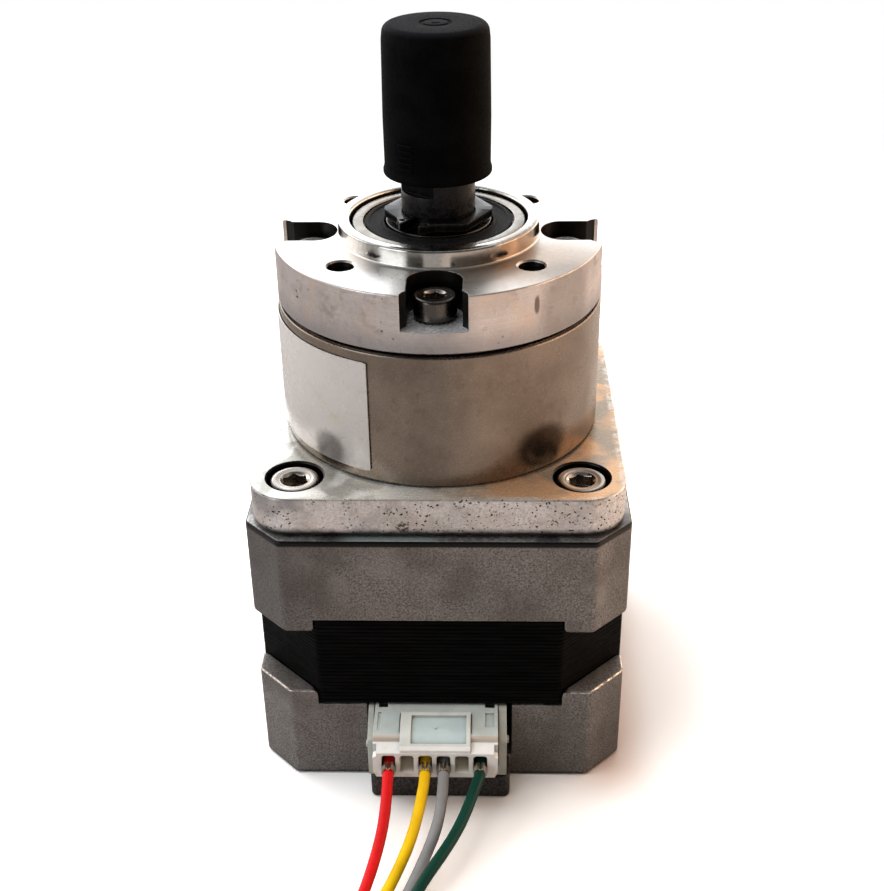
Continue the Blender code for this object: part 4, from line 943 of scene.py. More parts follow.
BOBBIN = plain("glass_filled_nylon", (0.018, 0.018, 0.019), rough=0.5, metal=0.0, scale=4.0,
               depth=0.04)
BOARD = plain("circuit_board_lacquer", (0.012, 0.11, 0.035), rough=0.35, metal=0.0, scale=1.4,
              depth=0.02)
WINDING = winding_wire()

# finishes of the CAD pieces; any other piece is plain steel
INSIDE = {
    "rear_insulator": BOBBIN, "front_insulator": BOBBIN, "winding_phase_a": WINDING,
    "winding_phase_b": WINDING, "rotor_core_rear": GEAR, "rotor_core_front": GEAR,
    "rotor_magnet": MAGNET, "sun_gear": GEAR, "planet_carrier": GEAR, "connector_board": BOARD,
}


def inside_parts():
    for node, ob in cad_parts.items():
        default = GEAR if node.startswith("planet_gear") else STEEL
        ob.data.materials.clear()
        ob.data.materials.append(INSIDE.get(node, default))


# ---------------------------------------------------------------- motor castings
# octagon inside which the corner tabs are cut down to the ledges
LEDGE = chamfered_square(30, 60 - (2 * HALF - 7.2))


def cap_outline(inset):
    return chamfered_outline(HALF, 4.0, 1.0, inset)


def tab_rounding(z_edge, way, radius):
    """Cutters rounding the tab ends at the side faces; way is +1 for tabs pointing up."""
    start = 13.9
    z = z_edge - way * radius
    pieces = []
    for k in range(4):
        for side in (1, -1):
            outline = [(side * (start - 0.2), z_edge + way * 0.2), (side * (start - 0.2), z)]
            for j in range(7):
                a = TAU / 4 * j / 6
                outline.append((side * (start + radius - radius * math.cos(a)),
                                z + way * radius * math.sin(a)))
            outline.append((side * (start + radius), z_edge + way * 0.2))
            pieces.append(prism(outline, -22.0, -HALF + radius + 0.15, quarter_turn(k) @ FACE))
    return pieces


def cap_paint(ledge, rim=None):
    def paint(centre, normal):
        if normal.z > 0.97 and abs(centre.z - ledge) < 0.15:
            return 1
        if rim is not None and centre.z > rim - 0.23 and 0.18 < normal.z < 0.97:
            return 2
        return 0
    return paint


def rear_cap():
    ob = solid("rear_end_cap_casting", loft(cap_outline, rounded_levels(0.0, REAR_TOP, 0.5, 0.22)))
    # shelf under the connector
    shelf_top = 3.2
    fuse(ob, loft(lambda inset: rectangle(-8.0, 8.0, REAR[0].y, -17.0, 0.7, inset),
                  rounded_levels(0.0, shelf_top, 0.4, 0.3)))
    cut(ob, prism(LEDGE, REAR_STEP, 30))
    cut(ob, *tab_rounding(REAR_TOP, 1, 0.8))
    floor, collar_top = 1.8, 7.6
    cut(ob, lathe([(0, floor), (POCKET_R, floor), (POCKET_R, collar_top), (COLLAR_R, collar_top),
                   (COLLAR_R, floor), (CAVITY_R, floor), (CAVITY_R, 20), (0, 20)], 96))
    sink_r, sink_top = 3.0, 2.7
    cut(ob, *lathe_each([(0, -2), (sink_r + 2.2, -2), (sink_r, 0.2), (sink_r, sink_top),
                         (BOLT_HOLE_R, sink_top), (BOLT_HOLE_R, 20), (0, 20)], 48, BOLTS))
    # opening above the shelf
    cut(ob, loft(lambda inset: rectangle(-8.4, 8.25, -30.0, -15.0, 0.4, inset),
                 [(0, shelf_top), (0, 20)]))
    # four shallow discs and a ring groove on the rear face
    disc = [(0, -1, 0), (1.6, -1, 0), (1.6, 0.14, 0.1), (0, 0.14, 0)]
    cut(ob, *[turned([*disc], 40, polar(15.2, 90 * k)) for k in range(4)],
        lathe([(9.2, -1), (9.8, -1), (9.8, 0.16), (9.2, 0.16)], 96))
    finish(ob, "rear_end_cap", [CAST, CUT_CAST, RUBBED],
           cap_paint(REAR_STEP, REAR_TOP))


def front_cap():
    ob = solid("front_end_cap_casting",
               loft(cap_outline, rounded_levels(FRONT_LOW, FRONT_TOP, 0.55, 0.30)))
    fuse(ob, turned([(0, 32, 0), (PILOT_R, 32, 0), (PILOT_R, FRONT[1].z, 0.2),
                     (0, FRONT[1].z, 0)], 96))
    cut(ob, prism(LEDGE, 10, FRONT_STEP))
    cut(ob, *tab_rounding(FRONT_LOW, -1, 0.9))
    cut(ob, lathe([(0, 10), (CAVITY_R, 10), (CAVITY_R, 31), (COLLAR_R, 31), (COLLAR_R, 27.4),
                   (POCKET_R, 27.4), (POCKET_R, 33.3), (3.5, 33.3), (3.5, 40), (0, 40)], 96))
    cut(ob, *lathe_each(rod(BOLT_HOLE_R, 10, 40), 32, BOLTS))
    finish(ob, "front_end_cap", [CAST, CUT_CAST], cap_paint(FRONT_TOP))


# ------------------------------------------------------------------- laminations
LAMINATION_COUNT = 23
BORE_R, SLOT_BOTTOM_R, YOKE_R = 11.2, 11.9, 17.5
POLE_HALF_WIDTH = 2.2
TOOTH_PITCH = 7.2                    # degrees


def pole_contour():
    """Inner outline of the stack: eight poles of six teeth."""
    neck_in = math.degrees(math.asin(POLE_HALF_WIDTH / 13.0))
    neck_out = math.degrees(math.asin(POLE_HALF_WIDTH / (YOKE_R - 0.1)))
    # (radius, degrees from the middle of the pole)
    pole = [(YOKE_R, -22.5), (YOKE_R, -15), (YOKE_R - 0.1, -neck_out), (13.0, -neck_in),
            (12.5, -18.5)]
    for tooth in range(6):
        middle = TOOTH_PITCH * (tooth - 2.5)
        pole += [(BORE_R, middle - 1.7), (BORE_R, middle), (BORE_R, middle + 1.7)]
        if tooth < 5:
            pole += [(SLOT_BOTTOM_R, middle + 1.9), (SLOT_BOTTOM_R, middle + 5.3)]
    pole += [(12.5, 18.5), (13.0, neck_in), (YOKE_R - 0.1, neck_out), (YOKE_R, 15)]
    return [polar(radius, 45.0 * k + degrees) for k in range(8) for radius, degrees in pole]


def lamination_stack():
    low = STACK[0].z
    pitch = (STACK[1].z - low) / LAMINATION_COUNT
    levels = []
    for i in range(LAMINATION_COUNT):
        z = low + pitch * i
        levels += [(0.09, z + 0.01), (0.0, z + 0.075), (0.0, z + pitch - 0.075)]
    levels.append((0.06, z + pitch))
    ob = solid("lamination_stack", loft(
        lambda inset: chamfered_outline(HALF - 0.02, 7.43, 1.1, inset, 6), levels))
    outlines = [pole_contour()] + [circle(BOLT_HOLE_R, 24, centre) for centre in BOLTS]
    cut(ob, *[prism(outline, 5, 30) for outline in outlines])
    finish(ob, "stator_core", [LAMINATIONS], angle=22)


# ------------------------------------------------------------------------ screws
PLATE_SCREW = dict(head_r=2.75, head_low=34.6, top=37.5, shank_r=1.5, tip=29.0, hex_r=1.44,
                   depth=1.5)
FLANGE_SCREW = dict(head_r=2.25, head_low=56.2, top=58.5, shank_r=1.2, tip=35.3, hex_r=1.15,
                    depth=1.3)


def cap_screw(name, node, centre, turn, head_r, head_low, top, shank_r, tip, hex_r, depth):
    """Socket head screw; turn is the angle of its hexagon in radians."""
    ob = solid(name, turned([
        (0, tip, 0), (shank_r - 0.25, tip, 0), (shank_r, tip + 0.3, 0), (shank_r, head_low, 0),
        (head_r - 0.1, head_low, 0), (head_r, head_low + 0.12, 0), (head_r, top, 0.46),
        (hex_r + 0.52, top, 0), (hex_r + 0.42, top - 0.05, 0), (0, top - 0.05, 0)],
        72, centre, steps=5))
    hexagon = fillet([(x, y, 0.1) for x, y in circle(hex_r, 6, phase=turn)], 2)
    cut(ob, prism(hexagon, top - depth, top + 1, shifted(centre)))
    # lead-in cone, then the drill point under the socket
    cut(ob, lathe([(0, top - 0.34), (hex_r * 0.86, top - 0.34), (hex_r * 1.16, top),
                   (hex_r * 1.16, top + 1), (0, top + 1)], 48, centre))
    cut(ob, lathe([(0, top - depth - 0.35), (hex_r * 0.75, top - depth + 0.02),
                   (0, top - depth + 0.02)], 24, centre))

    def paint(c, normal):
        radius = math.hypot(c.x - centre[0], c.y - centre[1])
        if radius < hex_r * 1.02 and top - depth - 0.4 < c.z < top - 0.25:
            return 1
        # head sides take the painted shade
        return 2 if radius > head_r - 0.5 and normal.z < 0.9 else 0
    finish(ob, node, [SCREW, SOCKET, SCREW_SIDE_SHADED], paint, angle=28)


def pan_screw(i, centre):
    """Cross-slotted screw in the rear cap, head down."""
    node = "motor_screw_%d" % i
    low, high = (corner.z for corner in cad_box(node))
    ob = solid("motor_pan_screw_%d" % i, turned([
        (0, low, 0), (1.6, low, 0.4), (2.55, low + 0.35, 0.35), (2.7, low + 1.0, 0.2),
        (2.7, 2.45, 0.06), (1.5, 2.45, 0), (1.5, high - 0.3, 0), (1.25, high, 0),
        (0, high, 0)], 64, centre))
    arm, half = 1.55, 0.27
    cross = [(-arm, -half), (-half, -half), (-half, -arm), (half, -arm), (half, -half),
             (arm, -half), (arm, half), (half, half), (half, arm), (-half, arm),
             (-half, half), (-arm, half)]
    a = 0.5 + 0.9 * i
    cross = [(x * math.cos(a) - y * math.sin(a), x * math.sin(a) + y * math.cos(a))
             for x, y in cross]
    cut(ob, prism(cross, -1, low + 0.85, shifted(centre)))
    finish(ob, node, [SCREW])


def screws():
    for i, centre in enumerate(BOLTS, 1):
        cap_screw("plate_cap_screw_%d" % i, "plate_screw_%d" % i, centre, 0.3 + 0.37 * i,
                  **PLATE_SCREW)
        pan_screw(i, centre)
    for i, centre in enumerate(FLANGE_SCREWS):
        cap_screw("flange_cap_screw_%d" % (i + 1), "flange_screw_%d" % (i + 1), centre,
                  0.45 + 0.5 * i, **FLANGE_SCREW)


# ------------------------------------------------- adapter plate, gear and flange
def plate_outline(inset):
    radius = 4.6
    half = PLATE_HALF - inset
    return fillet([(half, -half, radius - inset), (half, half, radius - inset),
                   (-half, half, radius - inset), (-half, -half, radius - inset)], 12)


def adapter_plate():
    ob = solid("adapter_plate_casting",
               loft(plate_outline, rounded_levels(PLATE_LOW, PLATE_TOP, 0.7, 0.22, 5)))
    fuse(ob, turned([(0, 36.0, 0), (PILOT_R, 36.0, 0), (PILOT_R, PLATE[1].z, 0.2),
                     (0, PLATE[1].z, 0)]))
    cut(ob, lathe([(0, 30), (11.2, 30), (11.2, 35.2), (6.0, 35.2), (6.0, 45), (0, 45)], 96))
    # counterbores of the corner screws, with a chamfered mouth
    sink_r, sink_low = 3.1, 34.45
    sink = [(0, 30), (1.7, 30), (1.7, sink_low), (sink_r, sink_low), (sink_r, PLATE_TOP - 0.16),
            (sink_r + 1.0, PLATE_TOP + 0.84), (sink_r + 1.0, 45), (0, 45)]
    cut(ob, *lathe_each(sink, 72, BOLTS),
        *lathe_each(rod(FLANGE_SCREW_HOLE_R, 35.1, 45), 24, FLANGE_SCREWS))

    def paint(c, normal):
        if normal.z > 0.9 and c.z > PLATE_TOP - 0.15:
            return 1
        # counterbore walls and mouths take the painted shade
        near_bolt = any(math.hypot(c.x - x, c.y - y) < 3.3 for x, y in BOLTS)
        return 2 if near_bolt and c.z > 34.0 else 0
    finish(ob, "adapter_plate", [PLATE_SIDE, PLATE_FACE, BORE_SHADED], paint)


# planetary gear set
MODULE, SUN_TEETH, PLANET_TEETH, RING_TEETH = 0.6, 12, 13, 39
CENTRE_DISTANCE = 0.5 * (SUN_TEETH + RING_TEETH) / 2 * MODULE
BASE_R = MODULE * RING_TEETH / 2 * math.cos(math.radians(20))
WORKING_R = CENTRE_DISTANCE * RING_TEETH / (RING_TEETH - PLANET_TEETH)
RING_TIP_R, RING_ROOT_R = 11.26, 12.2


def involute(angle):
    return math.tan(angle) - angle


def space_half(radius):
    """Half angle of a ring gear tooth space at a radius."""
    base = 0.99 / (2 * WORKING_R) + involute(math.acos(BASE_R / WORKING_R))
    return base - involute(math.acos(min(1.0, BASE_R / radius)))


def ring_teeth():
    radii = [RING_TIP_R + (RING_ROOT_R - RING_TIP_R) * i / 4 for i in range(5)]
    flank = []
    for k in range(RING_TEETH):
        a = TAU / 4 + TAU * k / RING_TEETH
        flank += [(r, a - space_half(r)) for r in radii]
        flank += [(r, a + space_half(r)) for r in reversed(radii)]
    return [(r * math.cos(a), r * math.sin(a)) for r, a in flank]


def ring_gear():
    low, high = RING[0].z, RING[1].z
    ob = solid("ring_gear_tube", turned([(0, low, 0), (RING_R, low, 0.22), (RING_R, high, 0.15),
                                         (0, high, 0)], 256, steps=3))
    cut(ob, prism(ring_teeth(), 30, 60),
        *[prism(circle(FLANGE_SCREW_HOLE_R, 24, centre), 30, 60) for centre in FLANGE_SCREWS])
    finish(ob, "ring_gear_housing", [NICKEL, GEAR],
           lambda c, normal: 0 if math.hypot(c.x, c.y) > 12.6 else 1, angle=25)


POCKET_FLOOR = 56.0                  # seat of the flange screws


def screw_pocket():
    """Outline of a screw pocket: round inside, flared where it opens through the rim."""
    flare = [(-3.45, -19.5), (-3.45, -17.3), (-3.25, -16.85), (-2.85, -16.4), (-2.85, -15.0)]
    arc = [(-2.85 * math.cos(TAU / 2 * t / 24), -13.5 + 2.35 * math.sin(TAU / 2 * t / 24))
           for t in range(25)]
    return flare + arc + [(-x, y) for x, y in reversed(flare)]


def output_flange():
    # (radius, z, corner radius)
    ob = solid("output_flange_body", turned([
        (5.0, FLANGE[0].z, 0), (PILOT_R, FLANGE[0].z, 0.1), (PILOT_R, 53.25, 0),
        (17.3, 53.25, 0), (17.3, 53.6, 0), (RING_R, 53.6, 0.16), (RING_R, FLANGE_TOP, 0.16),
        (PILOT_R, FLANGE_TOP, 0.22), (PILOT_R, PILOT_TOP, 0.22), (9.72, PILOT_TOP, 0.26),
        (9.72, 55.3, 0), (5.0, 55.3, 0)], 256))
    cut(ob, *[prism(screw_pocket(), POCKET_FLOOR, 65, quarter_turn(i)) for i in range(4)])
    # tapped hole with thread grooves and a chamfered mouth
    thread = [(0, 54.6), (1.28, 54.6)]
    z = 54.75
    while z < FLANGE_TOP - 0.70:
        thread += [(1.28, z), (1.48, z + 0.22), (1.28, z + 0.44)]
        z += 0.5
    thread += [(1.40, FLANGE_TOP - 0.30), (1.40, FLANGE_TOP - 0.18), (1.60, FLANGE_TOP),
               (2.58, FLANGE_TOP + 0.9), (0, FLANGE_TOP + 0.9)]
    holes = []
    for screw, tapped in zip(FLANGE_SCREWS, TAPPED_HOLES):
        holes.append(lathe(rod(FLANGE_SCREW_HOLE_R, 50, 57), 24, screw))
        holes.append(lathe(thread, 40, tapped))
    cut(ob, *holes)

    def paint(c, normal):
        radius = math.hypot(c.x, c.y)
        if radius < PILOT_R + 0.02 and c.z > FLANGE_TOP + 0.1:
            return 1
        # screw seats take the painted reflection
        if normal.z > 0.99 and abs(c.z - POCKET_FLOOR) < 0.05:
            return 2
        # bore, pocket walls and threads take the painted shade
        bore = radius < 9.8 and c.z < PILOT_TOP
        pocket_wall = (abs(normal.z) < 0.5 and 11.06 < radius < RING_R - 0.22
                       and POCKET_FLOOR < c.z < FLANGE_TOP - 0.05)
        in_thread = 54.0 < c.z < FLANGE_TOP - 0.19 and any(
            math.hypot(c.x - x, c.y - y) < 1.5 for x, y in TAPPED_HOLES)
        return 3 if bore or pocket_wall or in_thread else 0
    finish(ob, "output_flange", [MACHINED, PILOT, POCKET_SHEEN, BORE_SHADED], paint,
           angle=26)


# -------------------------------------------------------- output bearing, shaft
def output_bearing():
    low, high = BEARING[0].z, BEARING[1].z
    middle = 0.5 * (low + high)
    # (radius, z, corner radius); both races have a groove at mid height
    outer = solid("bearing_outer_race", turned([
        (9.5, low, 0.3), (9.5, high, 0.32), (8.25, high, 0.12), (8.25, high - 0.85, 0),
        (7.7, high - 0.85, 0), (7.7, middle + 0.9, 0), (8.06, middle + 0.45, 0),
        (8.06, middle - 0.45, 0), (7.7, middle - 0.9, 0), (7.7, low, 0)], 160))
    finish(outer, "output_bearing_outer_ring", [RACE])
    inner = solid("bearing_inner_race", turned([
        (4.13, low, 0.2), (5.75, low, 0), (5.75, middle - 0.9, 0), (5.44, middle - 0.45, 0),
        (5.44, middle + 0.45, 0), (5.75, middle + 0.9, 0), (5.75, high, 0.12),
        (4.13, high, 0.2)], 120))
    finish(inner, "output_bearing_inner_ring", [INNER_RACE_SHADED], body="output")
    low, high = SEAL[0].z, SEAL[1].z
    seal = solid("bearing_shield_seal", turned([
        (5.95, low, 0.05), (8.05, low, 0.05), (8.05, high, 0.12), (7.62, high, 0.1),
        (7.5, high - 0.14, 0.05), (6.42, high - 0.14, 0.05), (6.3, high, 0.1),
        (5.95, high, 0.08)], 160))
    finish(seal, "output_bearing_seal", [SEAL_RUBBER])


def output_shaft():
    low, high = SHAFT[0].z, SHAFT[1].z
    flat_low, flat_distance = 64.9, 3.25
    # stepped shaft with a groove for the retaining ring
    ob = solid("output_shaft_body", turned([
        (0, low, 0), (2.7, low, 0), (3.0, low + 0.3, 0), (3.0, 50.9, 0), (4.0, 50.9, 0.1),
        (4.0, 61.65, 0.04), (3.6, 61.65, 0.05), (3.6, 62.75, 0.05), (4.0, 62.75, 0.06),
        (4.0, high - 0.5, 0), (3.5, high, 0), (0, high, 0)]))
    cut(ob, prism([(flat_distance, -6), (8, -6), (8, 6), (flat_distance, 6)], flat_low, 90,
                  Matrix.Rotation(math.radians(FLAT_ANGLE), 4, "Z")))
    facing = Vector((*polar(1.0, FLAT_ANGLE), 0))
    finish(ob, "output_shaft", [OXIDE, FLAT],
           lambda c, normal: 1 if normal.dot(facing) > 0.999 and c.z > flat_low else 0,
           body="output")


def retaining_ring():
    """Split ring with six softened flats and an ear with a hole at each end."""
    gap_angle, steps = -118.0, 120
    outer, inner = [], []
    for i in range(steps + 1):
        degrees = gap_angle + 10 + (360 - 20) * i / steps
        from_middle = abs(i / steps - 0.5) * 2
        a = (degrees + 360.0) % 60.0 - 30.0
        flat = 5.28 / math.cos(math.radians(a))
        ear = 0.65 * max(0.0, (from_middle - 0.90) / 0.10)
        outer.append(polar(min(6.4, min(5.86, flat) + ear), degrees))
        inner.append(polar(3.82, degrees))
    ob = solid("shaft_retaining_ring", prism(outer + inner[::-1], CLIP[0].z + 0.02, CLIP[1].z))
    cut(ob, *lathe_each(rod(0.3, 61, 63), 24,
                        [polar(5.4, gap_angle + side * 15.5) for side in (-1, 1)]))
    soften(ob, width=0.1)
    finish(ob, "retaining_ring", [SPRING], angle=40, body="output")


def rubber_cap():
    low, high = SHAFT_CAP[0].z - 0.25, SHAFT_CAP[1].z + 0.3
    roof = SHAFT[1].z + 0.25
    # (radius, z, corner radius)
    ob = solid("shaft_end_cap", turned([
        (4.15, low, 0.15), (5.83, low, 0.18), (5.83, low + 0.42, 0.2), (5.68, low + 0.95, 0.6),
        (5.72, low + 6.0, 0.0), (5.62, high - 1.6, 2.0), (5.45, high, 1.15), (1.75, high, 0.12),
        (1.65, high - 0.16, 0.08), (1.35, high - 0.16, 0.08), (1.25, high, 0.12),
        (0.5, high, 0.1), (0.42, high + 0.06, 0.05), (0, high + 0.06, 0), (0, roof, 0),
        (4.15, roof, 0.3)], 160, steps=6))
    # short moulded bars low on the skirt
    bar = ([polar(5.4, a) for a in range(-134, -113, 2)]
           + [polar(5.9, a) for a in range(-115, -134, -2)])
    bars = []
    for k in range(5):
        z = low + 1.5 + 0.62 * k
        bars.append(prism(bar, z, z + 0.2))
    fuse(ob, *bars)
    finish(ob, "shaft_cap", [RUBBER], angle=35, body="output")


# ------------------------------------------------------------------------- label
def label():
    """Film wrapped round the ring gear housing, with rounded corners."""
    inner, outer = 18.10, 18.24
    start, span, steps = -113, 100, 72       # degrees, degrees, facets
    corner = 0.12
    low, high = LABEL[0].z, LABEL[1].z
    middle = 0.5 * (low + high)
    length = math.radians(span) * 18.2
    mesh = bmesh.new()
    rows = []
    for i in range(steps + 1):
        t = i / steps
        x, y = polar(1.0, start - span * t)
        from_end = min(t, 1 - t) * length
        inset = 0.0
        if from_end < corner:
            inset = corner - math.sqrt(max(0.0, corner * corner - (corner - from_end) ** 2))
        section = [(inner, low + inset), (outer, low + inset), (outer, middle),
                   (outer, high - inset), (inner, high - inset), (inner, middle)]
        rows.append(add_row(mesh, [(r * x, r * y, z) for r, z in section]))
    ob = solid("label_film_wrap", skin(mesh, rows))
    finish(ob, "label", [LABEL_FILM], angle=40)


# --------------------------------------------------------------------- connector
CONTACTS = [-0.5 + 2.05 * (i - 2.5) for i in range(6)]     # x of the six contacts
LEFT, RIGHT = PLUG[0].x, PLUG[1].x
# (y, z) along the top of the latch frame, rolling down towards -y
LATCH = [(-22.7, 11.0), (-22.95, 11.03), (-25.0, 10.92), (-25.8, 10.68), (-26.5, 10.2),
         (-27.0, 9.72), (-27.32, 9.36)]


def header():
    low, high = HEADER
    ob = solid("header_shroud", prism(fillet([
        (low.y, low.z, 0.3), (high.y, low.z, 0), (high.y, high.z, 0), (-21.5, high.z, 0.6),
        (low.y, 8.6, 0.5)], 4), low.x, high.x, SIDE))
    cut(ob, box(LEFT - 0.12, RIGHT + 0.10, -30, -19.6, 5.0, 20))
    cut(ob, *[box(x - 0.45, x + 0.45, -30, -15, 6.65, 7.55) for x in CONTACTS])
    # a small nub on each side
    fuse(ob, box(high.x - 0.2, high.x + 0.22, -24.3, -23.6, 7.9, 8.4),
         box(low.x - 0.22, low.x + 0.2, -24.4, -23.8, 7.2, 7.7))
    soften(ob, width=0.12)
    finish(ob, "connector_header", [HEADER_NYLON], angle=40)


def latch_z(y, offset=0.0):
    """Height of the latch frame's top at y."""
    for (ya, za), (yb, zb) in zip(LATCH, LATCH[1:]):
        if y >= yb:
            return za + (zb - za) * (y - ya) / (yb - ya) + offset
    return LATCH[-1][1] + offset


def plug_paint(c, normal):
    if 6.1 < c.z < 8.75 and c.y > -27.25 and any(abs(c.x - x) < 0.85 for x in CONTACTS):
        return PLUG_CAVITY
    if (-3.2 < c.x < 3.1 and -26.82 < c.y < -23.25 and normal.z > 0.4
            and latch_z(c.y, -0.45) < c.z < latch_z(c.y, -0.2)):
        return PLUG_WINDOW
    if c.y < -26.0 and normal.z > 0.25 and c.z < 9.6:
        return PLUG_LIP
    if c.y < -27.0 and normal.y < -0.5:
        return PLUG_FRONT
    if normal.y < -0.5 and -26.6 < c.y < -25.8 and c.z > 9.4 and not -4.3 < c.x < 3.5:
        return PLUG_EDGE
    if normal.z > 0.4 and -4.4 < c.x < 3.6 and c.y < -22.65 and c.z > latch_z(c.y, -0.2):
        return PLUG_FRAME
    return PLUG_BODY


def plug():
    ob = solid("plug_body", prism([(-20.4, 5.2), (-20.4, 9.75), (-26.1, 9.75), (-27.4, 8.98),
                                   (-27.4, 5.55), (-27.05, 5.2)], LEFT, RIGHT, SIDE))
    fuse(ob, prism([(-20.4, 9.0), (-20.4, 10.62), (-25.95, 10.42), (-26.16, 10.22),
                    (-26.22, 9.75), (-26.35, 9.0)], LEFT, RIGHT, SIDE))
    # latch frame with a sunk window
    fuse(ob, prism([(-22.7, 9.5)] + LATCH + [(-27.32, 8.6), (-25.0, 8.6), (-25.0, 9.5)],
                   -4.35, 3.53, SIDE))
    window = [-23.3, -25.0, -25.8, -26.5, -26.78]
    cut(ob, prism([(y, latch_z(y, 0.6)) for y in window]
                  + [(y, latch_z(y, -0.34)) for y in window[::-1]], -3.13, 3.06, SIDE))
    # grooves on both sides of the frame and behind it
    cut(ob, box(-4.50, -4.36, -25.6, -22.5, 10.2, 20), box(3.54, 3.68, -25.6, -22.5, 10.2, 20))
    cut(ob, box(-4.40, 3.58, -22.71, -22.55, 10.4, 20))
    # notches at the back corners and a shallow slot along each side of the deck
    cut(ob, box(LEFT + 0.42, LEFT + 1.45, -21.5, -15, 9.6, 20),
        box(RIGHT - 1.45, RIGHT - 0.36, -21.5, -15, 9.6, 20),
        box(RIGHT - 1.42, RIGHT - 0.40, -24.6, -22.3, 10.32, 20),
        box(LEFT + 0.42, LEFT + 0.78, -25.2, -22.3, 10.42, 20))
    # lower and upper corners of the -y face cut back
    corners = []
    for side, end in ((-1, LEFT), (1, RIGHT)):
        out = end + side * 0.2
        corners.append(prism([(out, 4.8), (end - side * 0.65, 4.8), (end - side * 0.12, 6.1),
                              (out, 6.3)], -30, -26.4, FACE))
        corners.append(prism([(out, 20), (end - side * 0.42, 20), (end - side * 0.42, 8.6),
                              (out, 8.2)], -30, -26.45, FACE))
    cut(ob, *corners)
    # cavities: four run through, the two unused ones are blind
    half, low, high = 0.77, 6.22, 8.66
    used = [slot for slot, *_ in LEADS.values()]
    cut(ob, *[prism(fillet([(x - half, low, 0.1), (x + half, low, 0.1), (x + half, high, 0.36),
                            (x - half, high, 0.36)], 4), -30, -15.0 if i in used else -24.9, FACE)
              for i, x in enumerate(CONTACTS)])
    # small raised dot on the window floor
    z = latch_z(-25.0, -0.36)
    fuse(ob, lathe([(0, z), (0.15, z), (0.12, z + 0.16), (0, z + 0.18)], 20, (-0.35, -25.0)))
    soften(ob, width=0.1)
    finish(ob, "connector_plug", PLUG_NYLON, plug_paint, angle=40)


# ------------------------------------------------------------- leads, terminals
# colour name: (contact slot, insulation colour, its dark mottling, centre line points)
LEADS = {
    "red": (0, (0.78, 0.010, 0.013), (0.45, 0.004, 0.006), [
        (-5.65, -29.2, 6.6), (-5.65, -31.6, 6.0), (-5.85, -34.5, 4.9), (-6.45, -37.2, 3.7),
        (-7.35, -40.4, 2.3), (-8.9, -44.5, 1.0), (-11.4, -49.0, 0.72), (-14.2, -53.5, 0.68)]),
    "yellow": (2, (0.93, 0.57, 0.004), (0.70, 0.36, 0.002), [
        (-1.6, -30.1, 6.5), (-2.0, -32.4, 5.8), (-2.6, -35.2, 4.6), (-3.7, -37.9, 3.4),
        (-4.9, -40.4, 2.3), (-6.9, -44.2, 1.0), (-9.4, -48.8, 0.72), (-12.0, -53.5, 0.68)]),
    "grey": (3, (0.25, 0.25, 0.255), (0.13, 0.13, 0.135), [
        (0.53, -30.1, 6.5), (0.35, -32.4, 5.8), (-0.05, -34.4, 4.9), (-0.7, -36.1, 4.1),
        (-1.7, -38.4, 3.1), (-3.6, -42.4, 1.4), (-6.6, -48.0, 0.72), (-9.6, -53.5, 0.68)]),
    "green": (5, (0.0028, 0.045, 0.031), (0.0015, 0.022, 0.015), [
        (4.15, -29.7, 6.6), (3.3, -32.5, 5.9), (2.15, -35.2, 5.2), (0.8, -37.9, 4.9),
        (-0.75, -40.3, 4.4), (-2.4, -43.0, 3.3), (-4.7, -47.8, 1.4), (-7.0, -53.5, 0.68)]),
}


def smooth_path(points, steps=9, passes=46):
    """Catmull-Rom curve through the points, then averaged with its neighbours."""
    points = [Vector(p) for p in points]
    path = []
    for i in range(len(points) - 1):
        a, b, c = points[max(i - 1, 0)], points[i], points[i + 1]
        d = points[min(i + 2, len(points) - 1)]
        for step in range(steps):
            t = step / steps
            path.append(0.5 * ((2 * b) + (c - a) * t + (2 * a - 5 * b + 4 * c - d) * t * t
                               + (3 * b - a - 3 * c + d) * t ** 3))
    path.append(points[-1])
    for _ in range(passes):
        inner = [0.25 * a + 0.5 * b + 0.25 * c for a, b, c in zip(path, path[1:], path[2:])]
        path = [path[0]] + inner + [path[-1]]
    return path


def lead(name, slot, colour, dark, points):
    x = CONTACTS[slot]
    path = smooth_path([(x, -25.7, 7.05), (x, -27.4, 7.02), (x, -28.5, 6.9)] + points)
    radii = [0.62 + 0.006 * math.sin(i * 0.37 + slot) for i in range(len(path))]
    radii[0], radii[-1] = 0.55, 0.59
    ob = solid("lead_" + name + "_insulation", sweep(path, radii, 24))
    skin_name = name + "_insulation"
    finish(ob, "lead_" + name, [insulation(skin_name, colour, dark)], angle=50)
    # bare strands at the free end: one in the middle, six round it
    along = (path[-1] - path[-2]).normalized()
    strands = []
    for k, offset in enumerate([(0.0, 0.0)] + [circle(0.27, 6)[k % 6] for k in range(1, 7)]):
        ends = [path[-1] - along * 0.5, path[-1] + along * 0.5,
                path[-1] + along * (1.15 + 0.08 * (k % 3))]
        strands.append(sweep(ends, [0.13, 0.13, 0.12], 8, offset))
    ob = solid("lead_" + name + "_strands", *strands)
    finish(ob, None, [COPPER], angle=50)


def crimp_outline(x, size):
    """Barrel whose two wings meet in a groove on top."""
    outline = []
    for t in range(60):
        a = TAU * t / 60
        degrees = math.degrees(a)
        wings = (math.exp(-((degrees - 62) / 17) ** 2)
                 + math.exp(-((degrees - 118) / 17) ** 2))
        groove = 0.20 * math.exp(-((degrees - 90) / 8) ** 2)
        radius = 0.73 * size + 0.13 * size * wings - groove
        outline.append((x + radius * math.cos(a), 7.0 + radius * math.sin(a)))
    return outline


